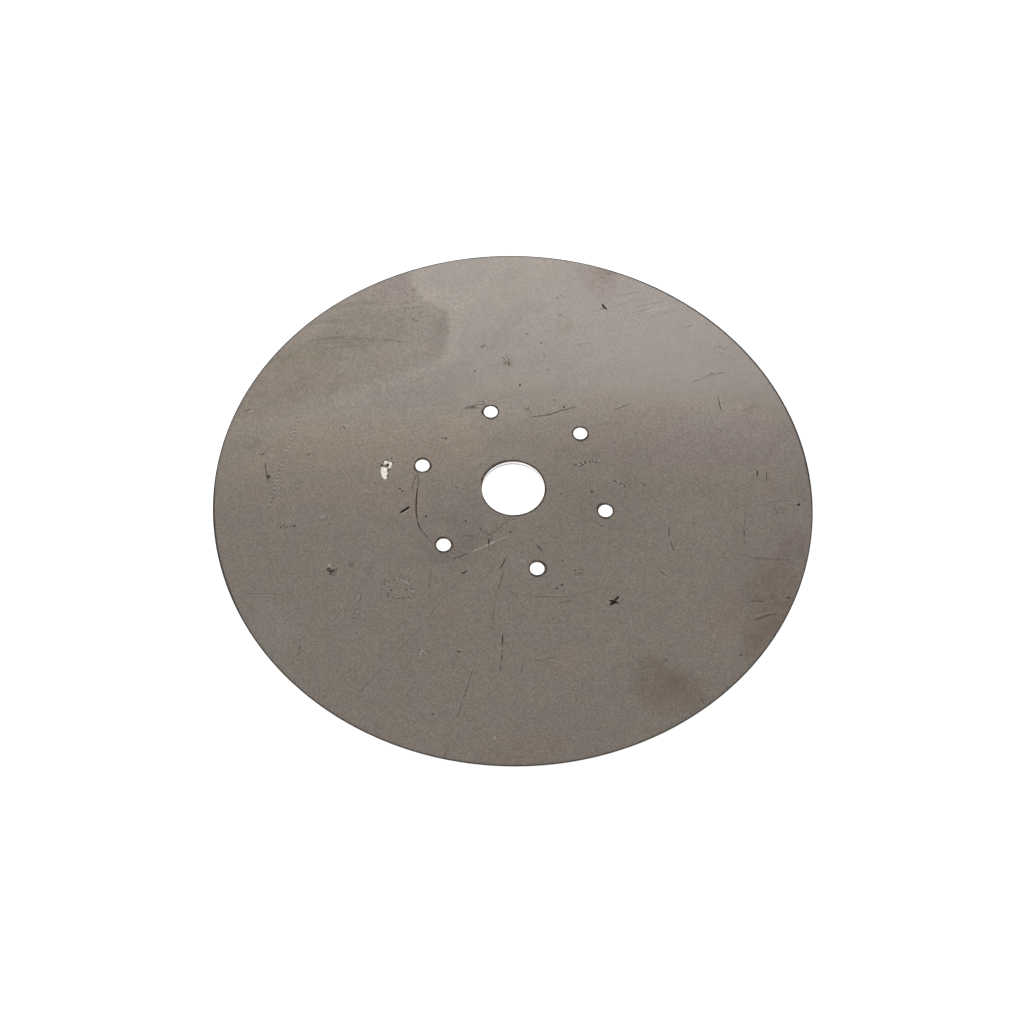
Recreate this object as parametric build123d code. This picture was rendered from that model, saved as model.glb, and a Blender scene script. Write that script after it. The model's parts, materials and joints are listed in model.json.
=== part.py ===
from build123d import *
from math import isclose
import os

# A flat disc blade for a harrow or a seed drill: one round plate of hardened
# steel sheet. The centre bore pilots it on its hub and a ring of bolt holes
# fastens it there. The plate was punched from above, so every arris of the
# upper face is rolled over a little, and its rim is ground to a cutting edge
# from below, which leaves the upper face flat right out to the edge.
#
# The frame has its origin on the disc's axis, at the lower face that the disc
# lies on. +Z is the disc's axis and points out of the flat upper face, and +X
# passes through the middle of one bolt hole.

# Driving dimensions, in millimetres
disc_diameter = 380.0
sheet_thickness = 3.5

bore_diameter = 40.0

bolt_circle_diameter = 121.0
bolt_hole_diameter = 9.0
bolt_hole_count = 6

bevel_width = 9.0          # how far the ground bevel reaches in from the rim
edge_land = 0.8            # what the grinding leaves of the sheet at the rim

bore_roll_radius = 0.4     # rolled arris round the bore, upper face
bolt_hole_roll_radius = 0.3
rim_roll_radius = 0.3

cut_overrun = 1.0          # how far a cutting tool runs past each face

# Sizes that follow from them
disc_radius = disc_diameter / 2
bore_radius = bore_diameter / 2
bolt_circle_radius = bolt_circle_diameter / 2
bolt_hole_radius = bolt_hole_diameter / 2


def ground_plate():
    """The blank with its bore and its bevel, turned from half of its section."""
    outline = [
        (bore_radius, 0),
        (disc_radius - bevel_width, 0),
        (disc_radius, sheet_thickness - edge_land),
        (disc_radius, sheet_thickness),
        (bore_radius, sheet_thickness),
    ]
    section = make_face(Plane.XZ * Polyline(*outline, close=True))
    return revolve(section, Axis.Z)


def bolt_hole_punches():
    """The tools that punch the ring of bolt holes, the first one on +X."""
    punch_height = sheet_thickness + 2 * cut_overrun
    punch = Pos(0, 0, sheet_thickness / 2) * Cylinder(bolt_hole_radius, punch_height)
    return PolarLocations(bolt_circle_radius, bolt_hole_count) * punch


def upper_arris(plate, radius):
    """The circular edges of that radius that bound the upper face."""
    upper_face = plate.faces().sort_by(Axis.Z)[-1]
    circles = upper_face.edges().filter_by(GeomType.CIRCLE)
    return circles.filter_by(lambda edge: isclose(edge.radius, radius))


def roll_arrises(plate):
    """Rounds the upper edges of the bore, the bolt holes and the rim."""
    rolls = [
        (bore_radius, bore_roll_radius),
        (bolt_hole_radius, bolt_hole_roll_radius),
        (disc_radius, min(rim_roll_radius, edge_land / 2)),
    ]
    for edge_radius, roll_radius in rolls:
        plate = fillet(upper_arris(plate, edge_radius), roll_radius)
    return plate


disc_blade = ground_plate() - bolt_hole_punches()
disc_blade = roll_arrises(disc_blade)

os.makedirs("parts", exist_ok=True)
export_step(disc_blade, "parts/disc_blade.step")
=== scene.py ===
# %% [markdown]
# # A flat disc blade in bare sheet steel
#
# The real object is one round plate of hardened sheet steel, punched with a
# centre bore and a ring of bolt holes and ground sharp round its rim from
# below. Its face is worn: it has scratches, nicks, brown stains and one fleck
# of old paint, and a dark shape is mirrored in it, which is painted here as a
# darker, duller patch. This lesson rebuilds its looks around the measured
# solid: first the frame and the camera, then one closed mesh whose scratches
# are real grooves, then the steel, and last the light.

# %% Load the measured solid
import json
import math

import bpy
import bmesh
import numpy as np
from mathutils import Matrix, Vector
from mathutils.geometry import delaunay_2d_cdt


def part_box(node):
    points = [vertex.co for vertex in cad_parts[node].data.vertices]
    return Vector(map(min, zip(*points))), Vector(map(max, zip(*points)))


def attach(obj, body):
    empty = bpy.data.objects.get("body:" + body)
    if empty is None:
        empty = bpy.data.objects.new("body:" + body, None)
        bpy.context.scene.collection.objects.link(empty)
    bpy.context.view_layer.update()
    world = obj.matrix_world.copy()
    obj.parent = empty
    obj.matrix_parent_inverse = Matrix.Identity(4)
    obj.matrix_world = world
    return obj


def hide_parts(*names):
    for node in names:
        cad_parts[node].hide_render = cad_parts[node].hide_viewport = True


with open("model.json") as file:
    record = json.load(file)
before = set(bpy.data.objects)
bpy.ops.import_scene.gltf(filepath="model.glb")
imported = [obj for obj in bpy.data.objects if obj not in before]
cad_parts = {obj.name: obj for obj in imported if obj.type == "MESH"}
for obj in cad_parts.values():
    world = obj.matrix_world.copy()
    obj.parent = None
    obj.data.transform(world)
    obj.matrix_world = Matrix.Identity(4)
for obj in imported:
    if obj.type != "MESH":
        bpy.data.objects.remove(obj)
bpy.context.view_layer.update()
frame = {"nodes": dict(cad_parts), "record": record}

# %% [markdown]
# The sizes are read from the solid, so that the looks can't drift from it.
# The mounts of the record give the bore and the bolt holes. The ground bevel
# isn't a mount, so it is measured: the flat underside ends at the largest
# radius that a vertex at height zero has, and the bevel ends at the lowest
# vertex of the rim. The rolled arrises are measured on the flat upper face,
# which stops short of each wall by the radius of its roll. Everything in the
# mesh code is in millimetres, because that is how a blade is drawn, and it is
# turned into metres once, at the end.

# %% Read the blade's sizes
MM = 0.001

mounts = {mount["name"]: mount for mount in frame["record"]["mounts"]}
solid = frame["nodes"]["disc_blade"]
solid_points = np.empty(len(solid.data.vertices) * 3)
solid.data.vertices.foreach_get("co", solid_points)
solid_points = solid_points.reshape(-1, 3) / MM
solid_radii = np.hypot(solid_points[:, 0], solid_points[:, 1])

on_plane = 0.01            # how near a vertex lies to a plane or rim that it belongs to
_, high_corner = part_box("disc_blade")
disc_radius = round(high_corner.x / MM, 2)
sheet_thickness = round(high_corner.z / MM, 3)
bore_radius = mounts["bore"]["dims"]["r_mm"]
hole_circle_radius = mounts["bolt_holes"]["dims"]["pcd_mm"] / 2
hole_radius = mounts["bolt_holes"]["dims"]["hole_r_mm"]
hole_count = mounts["bolt_holes"]["dims"]["count"]

hole_turns = 2 * math.pi * np.arange(hole_count) / hole_count
hole_centres = hole_circle_radius * np.column_stack([np.cos(hole_turns), np.sin(hole_turns)])

under_radii = solid_radii[solid_points[:, 2] < on_plane]
rim_heights = solid_points[solid_radii > disc_radius - on_plane, 2]
bevel_root_radius = round(float(under_radii.max()), 2)
bevel_top = round(float(rim_heights.min()), 2)

on_top = solid_points[:, 2] > sheet_thickness - on_plane / 10
from_first_hole = np.hypot(*(solid_points[on_top, :2] - hole_centres[0]).T)
rim_roll = round(disc_radius - float(solid_radii[on_top].max()), 2)
bore_roll = round(float(solid_radii[on_top].min()) - bore_radius, 2)
hole_roll = round(float(from_first_hole.min()) - hole_radius, 2)
print("disc", disc_radius, "thick", sheet_thickness, "bore", bore_radius)
print("bevel from radius", bevel_root_radius, "up to height", bevel_top)
print("rolls at rim, bore and hole:", rim_roll, bore_roll, hole_roll)

# %% [markdown]
# The camera is the photograph's own. Its angles, distance and lens come from
# a least-squares fit: a program moved a drawn rim, bore and ring of holes
# until they lay on the ones in the photograph. Its azimuth, roll, distance
# and aim were then corrected, so that the rim of a render lies there too. It
# looks down steeply, and it is rolled by under two degrees. Keeping its three
# axes as vectors is useful: the same axes that place the camera also turn any
# pixel of the picture into a point on the blade's face.

# %% Set up the photograph's camera
picture_size = 1024
sensor_width = 36.0
lens = 60.32
camera_azimuth = math.radians(14.9)
camera_elevation = math.radians(58.7)
camera_roll = math.radians(1.20)
camera_distance = 5.692 * disc_radius
aim_right, aim_away = -0.0026 * disc_radius, -0.0948 * disc_radius


def turned(vector, angle):
    """The vector turned by the angle about the blade's axis, Z."""
    return Matrix.Rotation(angle, 3, "Z") @ Vector(vector)


towards_camera = turned((0, -math.cos(camera_elevation), math.sin(camera_elevation)), camera_azimuth)
level_right = turned((1, 0, 0), camera_azimuth)
level_up = towards_camera.cross(level_right)
camera_right = level_right * math.cos(camera_roll) + level_up * math.sin(camera_roll)
camera_up = level_up * math.cos(camera_roll) - level_right * math.sin(camera_roll)
aim = turned((aim_right, aim_away, 0), camera_azimuth) + Vector((0, 0, sheet_thickness))
camera_place = aim + towards_camera * camera_distance

camera_data = bpy.data.cameras.new("photo_camera")
camera_data.lens = lens
camera_data.sensor_width = sensor_width
camera = bpy.data.objects.new("photo_camera", camera_data)
bpy.context.scene.collection.objects.link(camera)
axes = Matrix((camera_right, camera_up, towards_camera)).transposed()
camera.matrix_world = Matrix.Translation(camera_place * MM) @ axes.to_4x4()
bpy.context.scene.camera = camera
print("camera at", [round(v, 3) for v in camera.location], "m")


def face_points(pixels):
    """Points on the upper face that the camera sees at these pixels of the photograph.

    A pixel's ray leaves the camera along -back + x right + y up, with x and y its offsets from
    the picture's middle divided by the focal length in pixels. It is followed down to the face.
    """
    pixels = np.asarray(pixels, float)
    focal = lens / sensor_width * picture_size
    across = (pixels[:, 0] - picture_size / 2) / focal
    upward = (picture_size / 2 - pixels[:, 1]) / focal
    rays = (
        across[:, None] * np.array(camera_right)
        + upward[:, None] * np.array(camera_up)
        - np.array(towards_camera)
    )
    reach = (sheet_thickness - camera_place.z) / rays[:, 2]
    return (np.array(camera_place) + reach[:, None] * rays)[:, :2]


print("picture's middle is at", face_points([(512, 512)])[0].round(2), "mm on the face")

# %% [markdown]
# ## The plate's own form
#
# Everything round on the blade is one idea: a short profile carried round a
# circle. The bore is a straight wall with a rolled upper arris, a bolt hole is
# the same at another size, and the rim is the bevel, the land that the
# grinding left and its roll. A spin of the whole section would be simpler, but
# it can't make the six holes, so each ring is made alone and the flat faces
# are filled in between them.

# %% Carry a profile round a circle
rows_per_roll = 5


def rolled_arris(wall_radius, roll, outward):
    """A quarter round from the wall up to the upper face, as (radius, height) points.

    The angle runs from 0 to 90 degrees: radius = wall + outward (roll - roll cos angle),
    height = top - roll + roll sin angle. outward is 1 round a hole and -1 at the rim.
    """
    angle = np.linspace(0, math.pi / 2, rows_per_roll + 1)
    radius = wall_radius + outward * (roll - roll * np.cos(angle))
    height = sheet_thickness - roll + roll * np.sin(angle)
    return np.column_stack([radius, height])


def ring_grid(profile, steps, centre=(0, 0)):
    """Points and quads of a profile carried round a circle.

    Point (i, j) is centre + radius_i (cos t_j, sin t_j) at height_i, with t_j = 2 pi j / steps.
    """
    turn = 2 * math.pi * np.arange(steps) / steps
    circle = np.stack([np.cos(turn), np.sin(turn)], axis=-1)
    points = np.empty((len(profile), steps, 3))
    points[..., :2] = np.array(centre) + profile[:, 0, None, None] * circle
    points[..., 2] = profile[:, 1, None]
    index = np.arange(len(profile) * steps).reshape(len(profile), steps)
    ahead = np.roll(index, -1, axis=1)
    quads = np.stack([index[:-1], ahead[:-1], ahead[1:], index[1:]], axis=-1)
    return points, quads.reshape(-1, 4)


rim_steps, bore_steps, hole_steps = 1080, 300, 96

bore_profile = np.vstack([[(bore_radius, 0)], rolled_arris(bore_radius, bore_roll, 1)])
hole_profile = np.vstack([[(hole_radius, 0)], rolled_arris(hole_radius, hole_roll, 1)])
rim_profile = np.vstack([
    [(bevel_root_radius, 0), (disc_radius, bevel_top)],
    rolled_arris(disc_radius, rim_roll, -1),
])

bore_points, bore_quads = ring_grid(bore_profile, bore_steps)
rim_points, rim_quads = ring_grid(rim_profile, rim_steps)
hole_rings = [ring_grid(hole_profile, hole_steps, centre) for centre in hole_centres]
print("rings:", 2 + len(hole_rings), "with", len(rim_quads) + len(bore_quads), "quads in bore and rim")

# %% [markdown]
# ## The cuts and nicks
#
# The blade's face carries hundreds of marks. A bump texture could fake them,
# but then they would vanish from the mesh and in a low light. Here each mark
# is a V groove with a low lip along both sides, as a hard corner leaves it
# when it is dragged over sheet steel. A mark is given by its course, its
# width in millimetres and how much soot its floor holds. Soot stays in deep
# cuts, so a mark that holds little of it is only a shallow one, unless it is
# said to be rubbed bright. A pit is always shallow, because a deep one would
# glint in the studio's light.
#
# The courses were read in enlarged views of the photograph. Courses, widths
# and soot were then corrected over several rounds, by measuring where and how
# dark each mark is in the photograph and in a render.
#
# The course runs through its given points as a Catmull-Rom curve, because
# that needs no handles, and a mark given here is only a few points.

# %% A cut and its course
course_step = 1.0          # spacing of a groove's cross sections
least_sections = 5         # that even the shortest nick has
least_half_width = 0.05    # a groove's ends run out to this
end_taper = 0.3            # the power of the sine that rounds those ends
steps_per_span = 12        # of the curve between two given points
patch_length = 2.0         # of the gaps in a broken line
deep_soot = 0.65           # a cut that holds this much soot, or is rubbed bright, is a deep one
shallow_share = 0.07       # of a deep cut's depth, for all the others
cuts = []


def smooth_course(points):
    """A Catmull-Rom curve through the points, resampled at even steps.

    Between p1 and p2 it is the cubic with slopes (p2 - p0) / 2 and (p3 - p1) / 2 at its ends.
    """
    padded = np.vstack([2 * points[0] - points[1], points, 2 * points[-1] - points[-2]])
    start, end = padded[1:-2, None], padded[2:-1, None]
    slope_in, slope_out = (end - padded[:-3, None]) / 2, (padded[3:, None] - start) / 2
    t = np.linspace(0, 1, steps_per_span)[None, :, None]
    curve = (
        (2 * t**3 - 3 * t**2 + 1) * start
        + (t**3 - 2 * t**2 + t) * slope_in
        + (3 * t**2 - 2 * t**3) * end
        + (t**3 - t**2) * slope_out
    ).reshape(-1, 2)
    run = np.concatenate([[0], np.cumsum(np.hypot(*np.diff(curve, axis=0).T))])
    even = np.linspace(0, run[-1], max(least_sections, int(run[-1] / course_step) + 1))
    return np.column_stack([np.interp(even, run, curve[:, k]) for k in (0, 1)]), even


def lay(name, width, soot, points, shine=0.0, broken=0.0, depth=None):
    """Adds a groove through points on the face to the list.

    shine is how bright its floor and lips are rubbed, broken is how much of its soot is missing in
    patches, and depth is its share of a deep cut's depth.
    """
    course, run = smooth_course(points)
    share = run / run[-1]
    rounded = width / 2 * np.sin(math.pi * share) ** end_taper
    half_width = np.maximum(rounded, least_half_width)
    chance = np.random.default_rng(len(cuts))
    patch_ends = np.linspace(0, run[-1], 3 + int(run[-1] / patch_length))
    patches = np.interp(run, patch_ends, chance.random(len(patch_ends)))
    if depth is None:
        depth = 1.0 if max(soot, 2 * shine) >= deep_soot else shallow_share
    cuts.append({
        "name": name,
        "course": course,
        "half_width": half_width,
        "soot": soot * (1 - broken * patches),
        "shine": shine,
        "depth": depth,
    })


print("a deep cut is", round(1 / shallow_share), "times as deep as a pit of its width")

# %% [markdown]
# Marks are laid by pixels of the photograph, which is how their places were
# read. Besides long cuts there are pits: a pit is only a groove that is as
# long as it is wide, so it needs no code of its own. Rows of pits, dark and
# bright in turn, make a dotted line, and pits strewn inside an outline make a
# cluster. Each random draw is seeded with the number of grooves so far, so
# the blade comes out the same every time.

# %% Cuts, pits, dotted lines and clusters
turn_between_pits = 2.4    # radians, so that neighbours in a row point in different directions


def cut(name, width, soot, *pixels, **more):
    """A cut through pixels of the photograph."""
    lay(name, width, soot, face_points(pixels), **more)


def pits(name, size, soot, middles, shine=0.0):
    """Pits at points of the face: each is a groove that is as long as it is wide."""
    turn = turn_between_pits * np.arange(len(middles))
    half = size / 2 * np.column_stack([np.cos(turn), np.sin(turn)])
    for i, (start, end) in enumerate(zip(middles - half, middles + half)):
        lay(f"{name}_{i}", size, soot, np.array([start, end]), shine=shine, depth=shallow_share)


def nick(name, size, soot, *pixels, shine=0.0):
    """A pit at each of the pixels."""
    pits(name, size, soot, face_points(pixels), shine)


def dotted(name, size, soot, shine, spacing, *pixels):
    """Dark and bright pits in turn along a course, a little out of line."""
    course, run = smooth_course(face_points(pixels))
    places = np.arange(spacing / 2, run[-1], spacing)
    wobble = spacing / 2 * (np.random.default_rng(len(cuts)).random((len(places), 2)) - 0.5)
    middles = np.column_stack([np.interp(places, run, course[:, k]) for k in (0, 1)]) + wobble
    pits(name + "_dark", size, soot, middles[::2])
    pits(name + "_bright", size, 0.0, middles[1::2], shine)


def scatter(name, count, size, soot, *pixels):
    """Pits at random inside the outline through the pixels: each is a random mean of its corners."""
    corners = face_points(pixels)
    shares = np.random.default_rng(len(cuts)).dirichlet(np.ones(len(corners)), count)
    pits(name, size, soot, shares @ corners)


print("neighbouring pits are turned by", round(math.degrees(turn_between_pits)), "degrees")

# %% [markdown]
# The marks round the hub come first: the long hooked cut from one bolt hole
# to the next, a short black dash beside it, and the bright scrape below the
# bore, which is laid as three cuts end to end because its shine changes.

# %% The hooked cut and the scrape below the bore
cut("hook", 0.92, 0.97, (417.8, 486), (416.8, 494), (416.2, 503), (416.2, 513), (417.6, 521))
cut("hook_branch", 0.55, 0.74, (417, 472.6), (414.8, 478), (412.8, 485), (412.4, 492), broken=0.3)
cut("black_dash", 2.00, 0.97, (399.6, 513.2), (404.5, 510.2), (409.6, 507))
nick("black_dash_end", 2.00, 0.97, (408, 507.4))
cut("bore_scrape_faint", 0.55, 0.05, (507.6, 536), (502, 538.4), (496, 541.2), shine=0.20)
cut("bore_scrape", 0.60, 0.05, (496, 541.2), (489, 544.4), (485, 546.2), shine=0.46)
cut("bore_scrape_low", 0.50, 0.05, (485, 546.2), (478, 549.2), (471.6, 551.8), shine=0.34)
cut("bore_scrape_tail", 0.67, 0.71, (468, 553), (460, 556.5), (453, 558.6), broken=0.3)
cut("bore_hair", 0.52, 0.70, (510, 518), (500, 527), (488.6, 536.4), broken=0.4)
cut("bore_tick", 0.95, 0.95, (489, 537.6), (488.8, 545.6))
cut("bore_loop", 0.40, 0.55, (486.8, 541), (487.2, 536), (489, 533.6), (491, 535.8), (491.4, 540))
cut("hole_tick", 0.77, 0.97, (536, 544.2), (539.6, 548), (542.4, 551.4))
print("marks so far:", len(cuts))

# %% [markdown]
# Above the bore lies one wide cut with a thin tail. On the right a scuff and
# an arc of short dashes go round the hub, left by something hard that skipped
# as it turned, and a long thin arc runs below the bore.

# %% The cut above the bore, and dashes and arcs
cut("upper_cut", 1.35, 0.40, (531, 417), (548, 415), (562, 410.6), (577.5, 406.6))
cut("upper_cut_tail", 0.40, 0.26, (477.6, 395.6), (492, 401), (510, 396.6), (531, 392), broken=0.5)
cut("hole_smear", 2.40, 0.31, (463.6, 408.6), (470, 407.4), (478.4, 408.2))
cut("hole_smear_line", 0.80, 0.50, (466, 410.2), (474, 405.4), (486, 404.4), broken=0.4)
cut("dashed_scuff_dark", 0.75, 0.70, (578, 467), (581, 465.4), (585, 463.8), depth=shallow_share)
cut("dashed_scuff_far", 0.60, 0.85, (588, 462.6), (593, 462), (599, 462.6), broken=0.4, depth=shallow_share)
dotted("dashed_scuff", 0.85, 0.97, 0.26, 1.3, (577, 465.8), (580, 464.2), (586.6, 461.8), (599.6, 460))
scatter("dashed_scuff_specks", 8, 0.86, 0.85, (577, 459), (596, 456), (600, 463), (580, 467))
cut("right_arc", 0.42, 0.56, (589, 492.4), (600, 486), (613, 483), broken=0.8)
cut("right_dash_a", 0.95, 0.95, (613.6, 480.8), (617.2, 481.8), depth=shallow_share)
cut("right_dash_b", 0.90, 0.70, (619.4, 482.8), (622.8, 484), depth=shallow_share)
cut("right_dash_c", 0.90, 0.82, (623.6, 485), (626, 487), depth=shallow_share)
nick("right_dash_light", 0.70, 0.0, (618, 480.6), (622, 485.6), shine=0.2)
cut("right_comma", 0.80, 0.69, (641, 482), (643.6, 484), (645.4, 487.4))
cut("drill_arc", 0.50, 0.49, (503, 589), (514, 593), (530, 596), (548, 597), (568, 596.6), (588, 591.4),
    (604, 587.8), (612, 587.4), broken=0.5)
cut("drill_arc_low", 0.52, 0.74, (563.6, 602), (572, 600.8))
print("marks so far:", len(cuts))

# %% [markdown]
# Single pits and specks lie between them. Pits of the same size and darkness
# share one call.

# %% Pits and specks round the bore
nick("hub_spots", 1.46, 0.95, (445.8, 438.6), (563.7, 407), (520, 385), (592, 491.7), (561.9, 584.8))
nick("hub_specks", 1.28, 0.95, (402, 491), (400, 488.4), (510.5, 532), (556.9, 588.5), (426, 516.4),
     (465.6, 520.8))
nick("hub_blobs", 1.22, 0.88, (454.8, 558.4), (391.6, 590.4), (406.4, 589.8), (411.6, 588.2))
cut("hub_level_hair", 0.50, 0.75, (466.4, 535.4), (474, 536), broken=0.2)
scatter("hub_left_specks", 9, 0.86, 0.70, (478, 522), (492, 526), (486, 538), (474, 532))
nick("hub_points", 1.05, 0.80, (513.6, 519.5), (562.3, 560.5), (574.6, 570.6), (561, 493.7))
cut("hub_hair_right", 0.47, 0.67, (596, 521.4), (603.4, 527), broken=0.4)
scatter("hub_cluster", 10, 0.86, 0.75, (572, 568), (583, 568), (583, 576), (572, 576))
scatter("top_hole_specks", 8, 0.92, 0.80, (464, 411), (476, 402), (487, 400), (484, 407))
scatter("upper_curl", 8, 0.80, 0.72, (523, 405), (531, 405), (532, 414), (524, 414))
nick("upper_curl_speck", 1.03, 0.70, (554.6, 400), (547.6, 370))
nick("hub_bright", 0.85, 0.0, (521.8, 560.6), (524.6, 561.2), shine=0.28)
print("marks so far:", len(cuts))

# %% [markdown]
# Then the near half: a bundle of long cuts that run towards the near rim, and
# lone hairlines beside it. A line whose darkness changes along its way is
# laid as several cuts.

# %% Long strokes on the near half
cut("stroke_a", 0.85, 0.80, (506, 557), (503.4, 563), (500, 569))
cut("stroke_b", 0.57, 0.60, (504, 570), (501, 580), (498.4, 590))
cut("stroke_c", 0.95, 0.95, (467.8, 570.4), (464, 572.4), (460.6, 573.4))
cut("stroke_d", 0.47, 0.54, (431, 569), (430.2, 576), (429.8, 582))
cut("long_stroke", 0.90, 0.84, (502.8, 633.6), (502.4, 640), (502.2, 646))
cut("long_stroke_thin", 0.45, 0.40, (502.2, 645.6), (502, 656))
cut("long_stroke_low", 0.75, 0.73, (502, 654.4), (501.6, 661.6))
cut("long_stroke_end", 0.60, 0.62, (501, 664), (500.2, 672.6), broken=0.3)
cut("long_stroke_hair", 0.37, 0.31, (496, 590), (494, 611), (491.4, 633))
cut("stroke_fork", 0.40, 0.46, (503, 641), (509, 635.6), (515, 631.6), depth=0.6)
cut("slanted", 0.50, 0.70, (472.8, 669), (470.6, 676), (468.4, 683), broken=0.3)
cut("slanted_middle", 0.62, 0.63, (469.4, 680), (466.4, 690), (463, 700), broken=0.2)
cut("slanted_low", 0.48, 0.62, (462.6, 701.4), (460, 709), (456.8, 718), broken=0.3)
cut("left_diagonal", 0.47, 0.54, (382, 668), (370, 681), (354, 698.6), broken=0.3)
cut("left_diagonal_hair", 0.36, 0.40, (447, 592), (424, 622), (398, 652), (382, 668), broken=0.4)
cut("short_stroke", 0.52, 0.64, (524.4, 660), (519.6, 676), broken=0.3)
cut("near_rim_stroke", 0.52, 0.51, (446.8, 745.6), (444.4, 758.6), broken=0.3)
cut("left_scuff", 0.60, 0.42, (360, 603), (356, 610), (350.6, 618), broken=0.8)
cut("left_dash", 0.62, 0.72, (299.8, 644.6), (299, 651))
cut("level_hair", 0.37, 0.52, (243, 593.6), (262, 593.4), (287, 594.8))
cut("arc_twin", 0.45, 0.49, (508.6, 590), (513, 593.6), (519.4, 598.4), broken=0.3)
cut("arc_core", 0.45, 0.71, (536, 596), (546, 596.8), (557, 597))
cut("hub_hair", 0.42, 0.47, (448.7, 590.6), (457, 584.4))
cut("fine_diagonal", 0.25, 0.10, (540, 655), (549, 659.6), (561, 662), shine=0.15)
print("marks so far:", len(cuts))

# %% [markdown]
# Where something struck the blade there is a mark like a small arrow: three
# short wide cuts that meet. A smudge of close pits lies on the left, and the
# rest of the near half has dark and bright specks and a few more hairlines.

# %% The struck mark, smudges and specks
cut("arrow_point", 2.10, 0.86, (619.4, 595.8), (613, 602.4))
cut("arrow_shaft", 2.00, 0.97, (608.6, 600.4), (613, 601.6), (619.4, 603.4))
cut("arrow_tail", 2.20, 0.97, (609.4, 605.2), (616.4, 601.4))
cut("left_smudge", 2.60, 0.60, (326, 569.2), (330.2, 570.6), (334.6, 571.8))
cut("left_smudge_low", 1.90, 0.57, (329, 574), (333, 573.4))
scatter("left_smudge_specks", 16, 0.95, 0.92, (323.6, 566), (336.6, 566.4), (338.6, 576.4), (325, 577))
nick("left_smudge_spot", 3.91, 0.26, (351, 564.7))
nick("near_spots", 1.45, 0.95, (458.7, 651.7), (294.5, 526))
nick("near_specks", 1.05, 0.85, (280.6, 527), (727, 688))
scatter("left_cluster", 11, 0.80, 0.72, (277, 523), (297, 523), (297, 530), (277, 529))
nick("near_dull_spots", 2.20, 0.38, (432.8, 714), (666, 660))
nick("near_bright", 1.20, 0.0, (495, 737.6), (422, 651), shine=0.30)
nick("near_bright_pair", 0.90, 0.0, (420.4, 654), (424.6, 652.6), shine=0.22)
scatter("near_bright_specks", 7, 0.80, 0.50, (418, 647), (427, 647), (427, 656), (418, 656))
cut("hair_head", 0.50, 0.48, (493.8, 609), (493.2, 616), (492.6, 624))
nick("left_bright", 1.40, 0.0, (329.4, 565), shine=0.38)
cut("left_light", 1.60, 0.0, (319, 517.4), (322.6, 516.4), (326, 515), shine=0.09)
scatter("scuff_specks", 16, 0.80, 0.62, (354, 606), (362, 605), (361, 618), (351, 625))
cut("left_scuff_top", 0.50, 0.70, (361.4, 592.6), (360.6, 598), (358.4, 603), broken=0.4)
cut("left_scuff_light", 0.50, 0.0, (358.6, 594), (357.6, 600), shine=0.14)
cut("level_hair_low", 0.36, 0.36, (247, 597.6), (268, 597.2), (290, 598.6), broken=0.3)
cut("near_hair_pair", 0.45, 0.70, (528.6, 657.8), (540, 661), (553.6, 663.4), broken=0.35)
cut("near_hair_rise", 0.40, 0.62, (538, 661), (548, 658.6), (557, 656.6), broken=0.35)
print("marks so far:", len(cuts))

# %% [markdown]
# A ring-shaped scuff is what the end of a pipe or a bolt leaves. Its rim is
# dotted rather than cut, with a few broken lines over it.

# %% The ring-shaped scuff
dotted("ring_scuff", 0.83, 0.75, 0.12, 1.6, (381, 589), (386, 583), (397, 579.6), (408, 581), (413, 588),
       (411, 596), (400, 598.6), (388, 596))
cut("ring_scuff_bar", 0.60, 0.61, (392.6, 599.4), (402, 598), (411.6, 596.4), broken=0.3)
cut("ring_scuff_top", 0.50, 0.51, (380, 586), (386, 581.4), (397, 578.8), broken=0.4)
cut("ring_scuff_light", 0.40, 0.0, (396, 579), (405, 581.6), (411, 586), broken=0.4, shine=0.2)
nick("ring_scuff_specks", 1.03, 0.40, (385, 579.6), (395, 586), (391, 601))
nick("ring_scuff_bright", 0.70, 0.0, (403, 589.6), (409, 600), shine=0.25)
print("marks so far:", len(cuts))

# %% [markdown]
# Last the far and outer parts. On the far half a fan of fine scratches opens
# from a short thick tick near the rim, and clusters of dull specks stand for
# stains that are too grainy for a smooth tint.

# %% Marks on the far half
cut("far_tick", 1.45, 0.97, (602, 303.4), (603.4, 306.4), (607.2, 309.8))
cut("far_tick_tail", 1.10, 0.50, (604.2, 308.4), (600.4, 309.2))
cut("fan_a", 0.40, 0.47, (617, 296), (630, 293.4), (644, 291.6), broken=0.3)
cut("fan_b", 0.45, 0.31, (611, 308), (620, 304.6), (630, 302.4), broken=0.3)
cut("fan_c", 0.40, 0.42, (636, 307), (650, 304), (664, 301.6), broken=0.3)
cut("fan_d", 0.30, 0.00, (650, 310.8), (668, 307.4), shine=0.12)
cut("fan_e", 0.35, 0.28, (628, 300.4), (637, 299.6), (652, 299.4), broken=0.6)
cut("fan_f", 0.40, 0.22, (655, 316), (670, 311.6), (684, 309.6), broken=0.4)
cut("fan_g", 0.55, 0.40, (684.6, 327.8), (693.4, 324.4))
cut("fan_h", 0.35, 0.42, (628, 313), (641, 311), (655, 306.4), broken=0.6)
cut("far_long_left", 0.60, 0.52, (692, 382.4), (696, 380.8), (700, 379.2))
cut("far_long", 0.50, 0.33, (700, 379.4), (707, 376.4), (713, 374.4), broken=0.5)
cut("far_long_right", 0.60, 0.55, (714.6, 374.6), (718, 373.6), (723.6, 372.2), broken=0.3)
scatter("far_long_specks", 7, 0.75, 0.60, (706, 370), (717, 369), (717, 378), (708, 380))
cut("far_right_branch", 0.64, 0.67, (717.6, 397), (719.4, 403), (721.2, 410))
cut("far_right_twig", 0.42, 0.37, (721, 404), (725.4, 401.6), depth=0.6)
cut("right_of_upper_cut", 0.70, 0.44, (612.6, 410.4), (621, 407.4), (630, 404))
cut("far_short", 0.47, 0.31, (576, 344.8), (586, 343.4))
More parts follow.
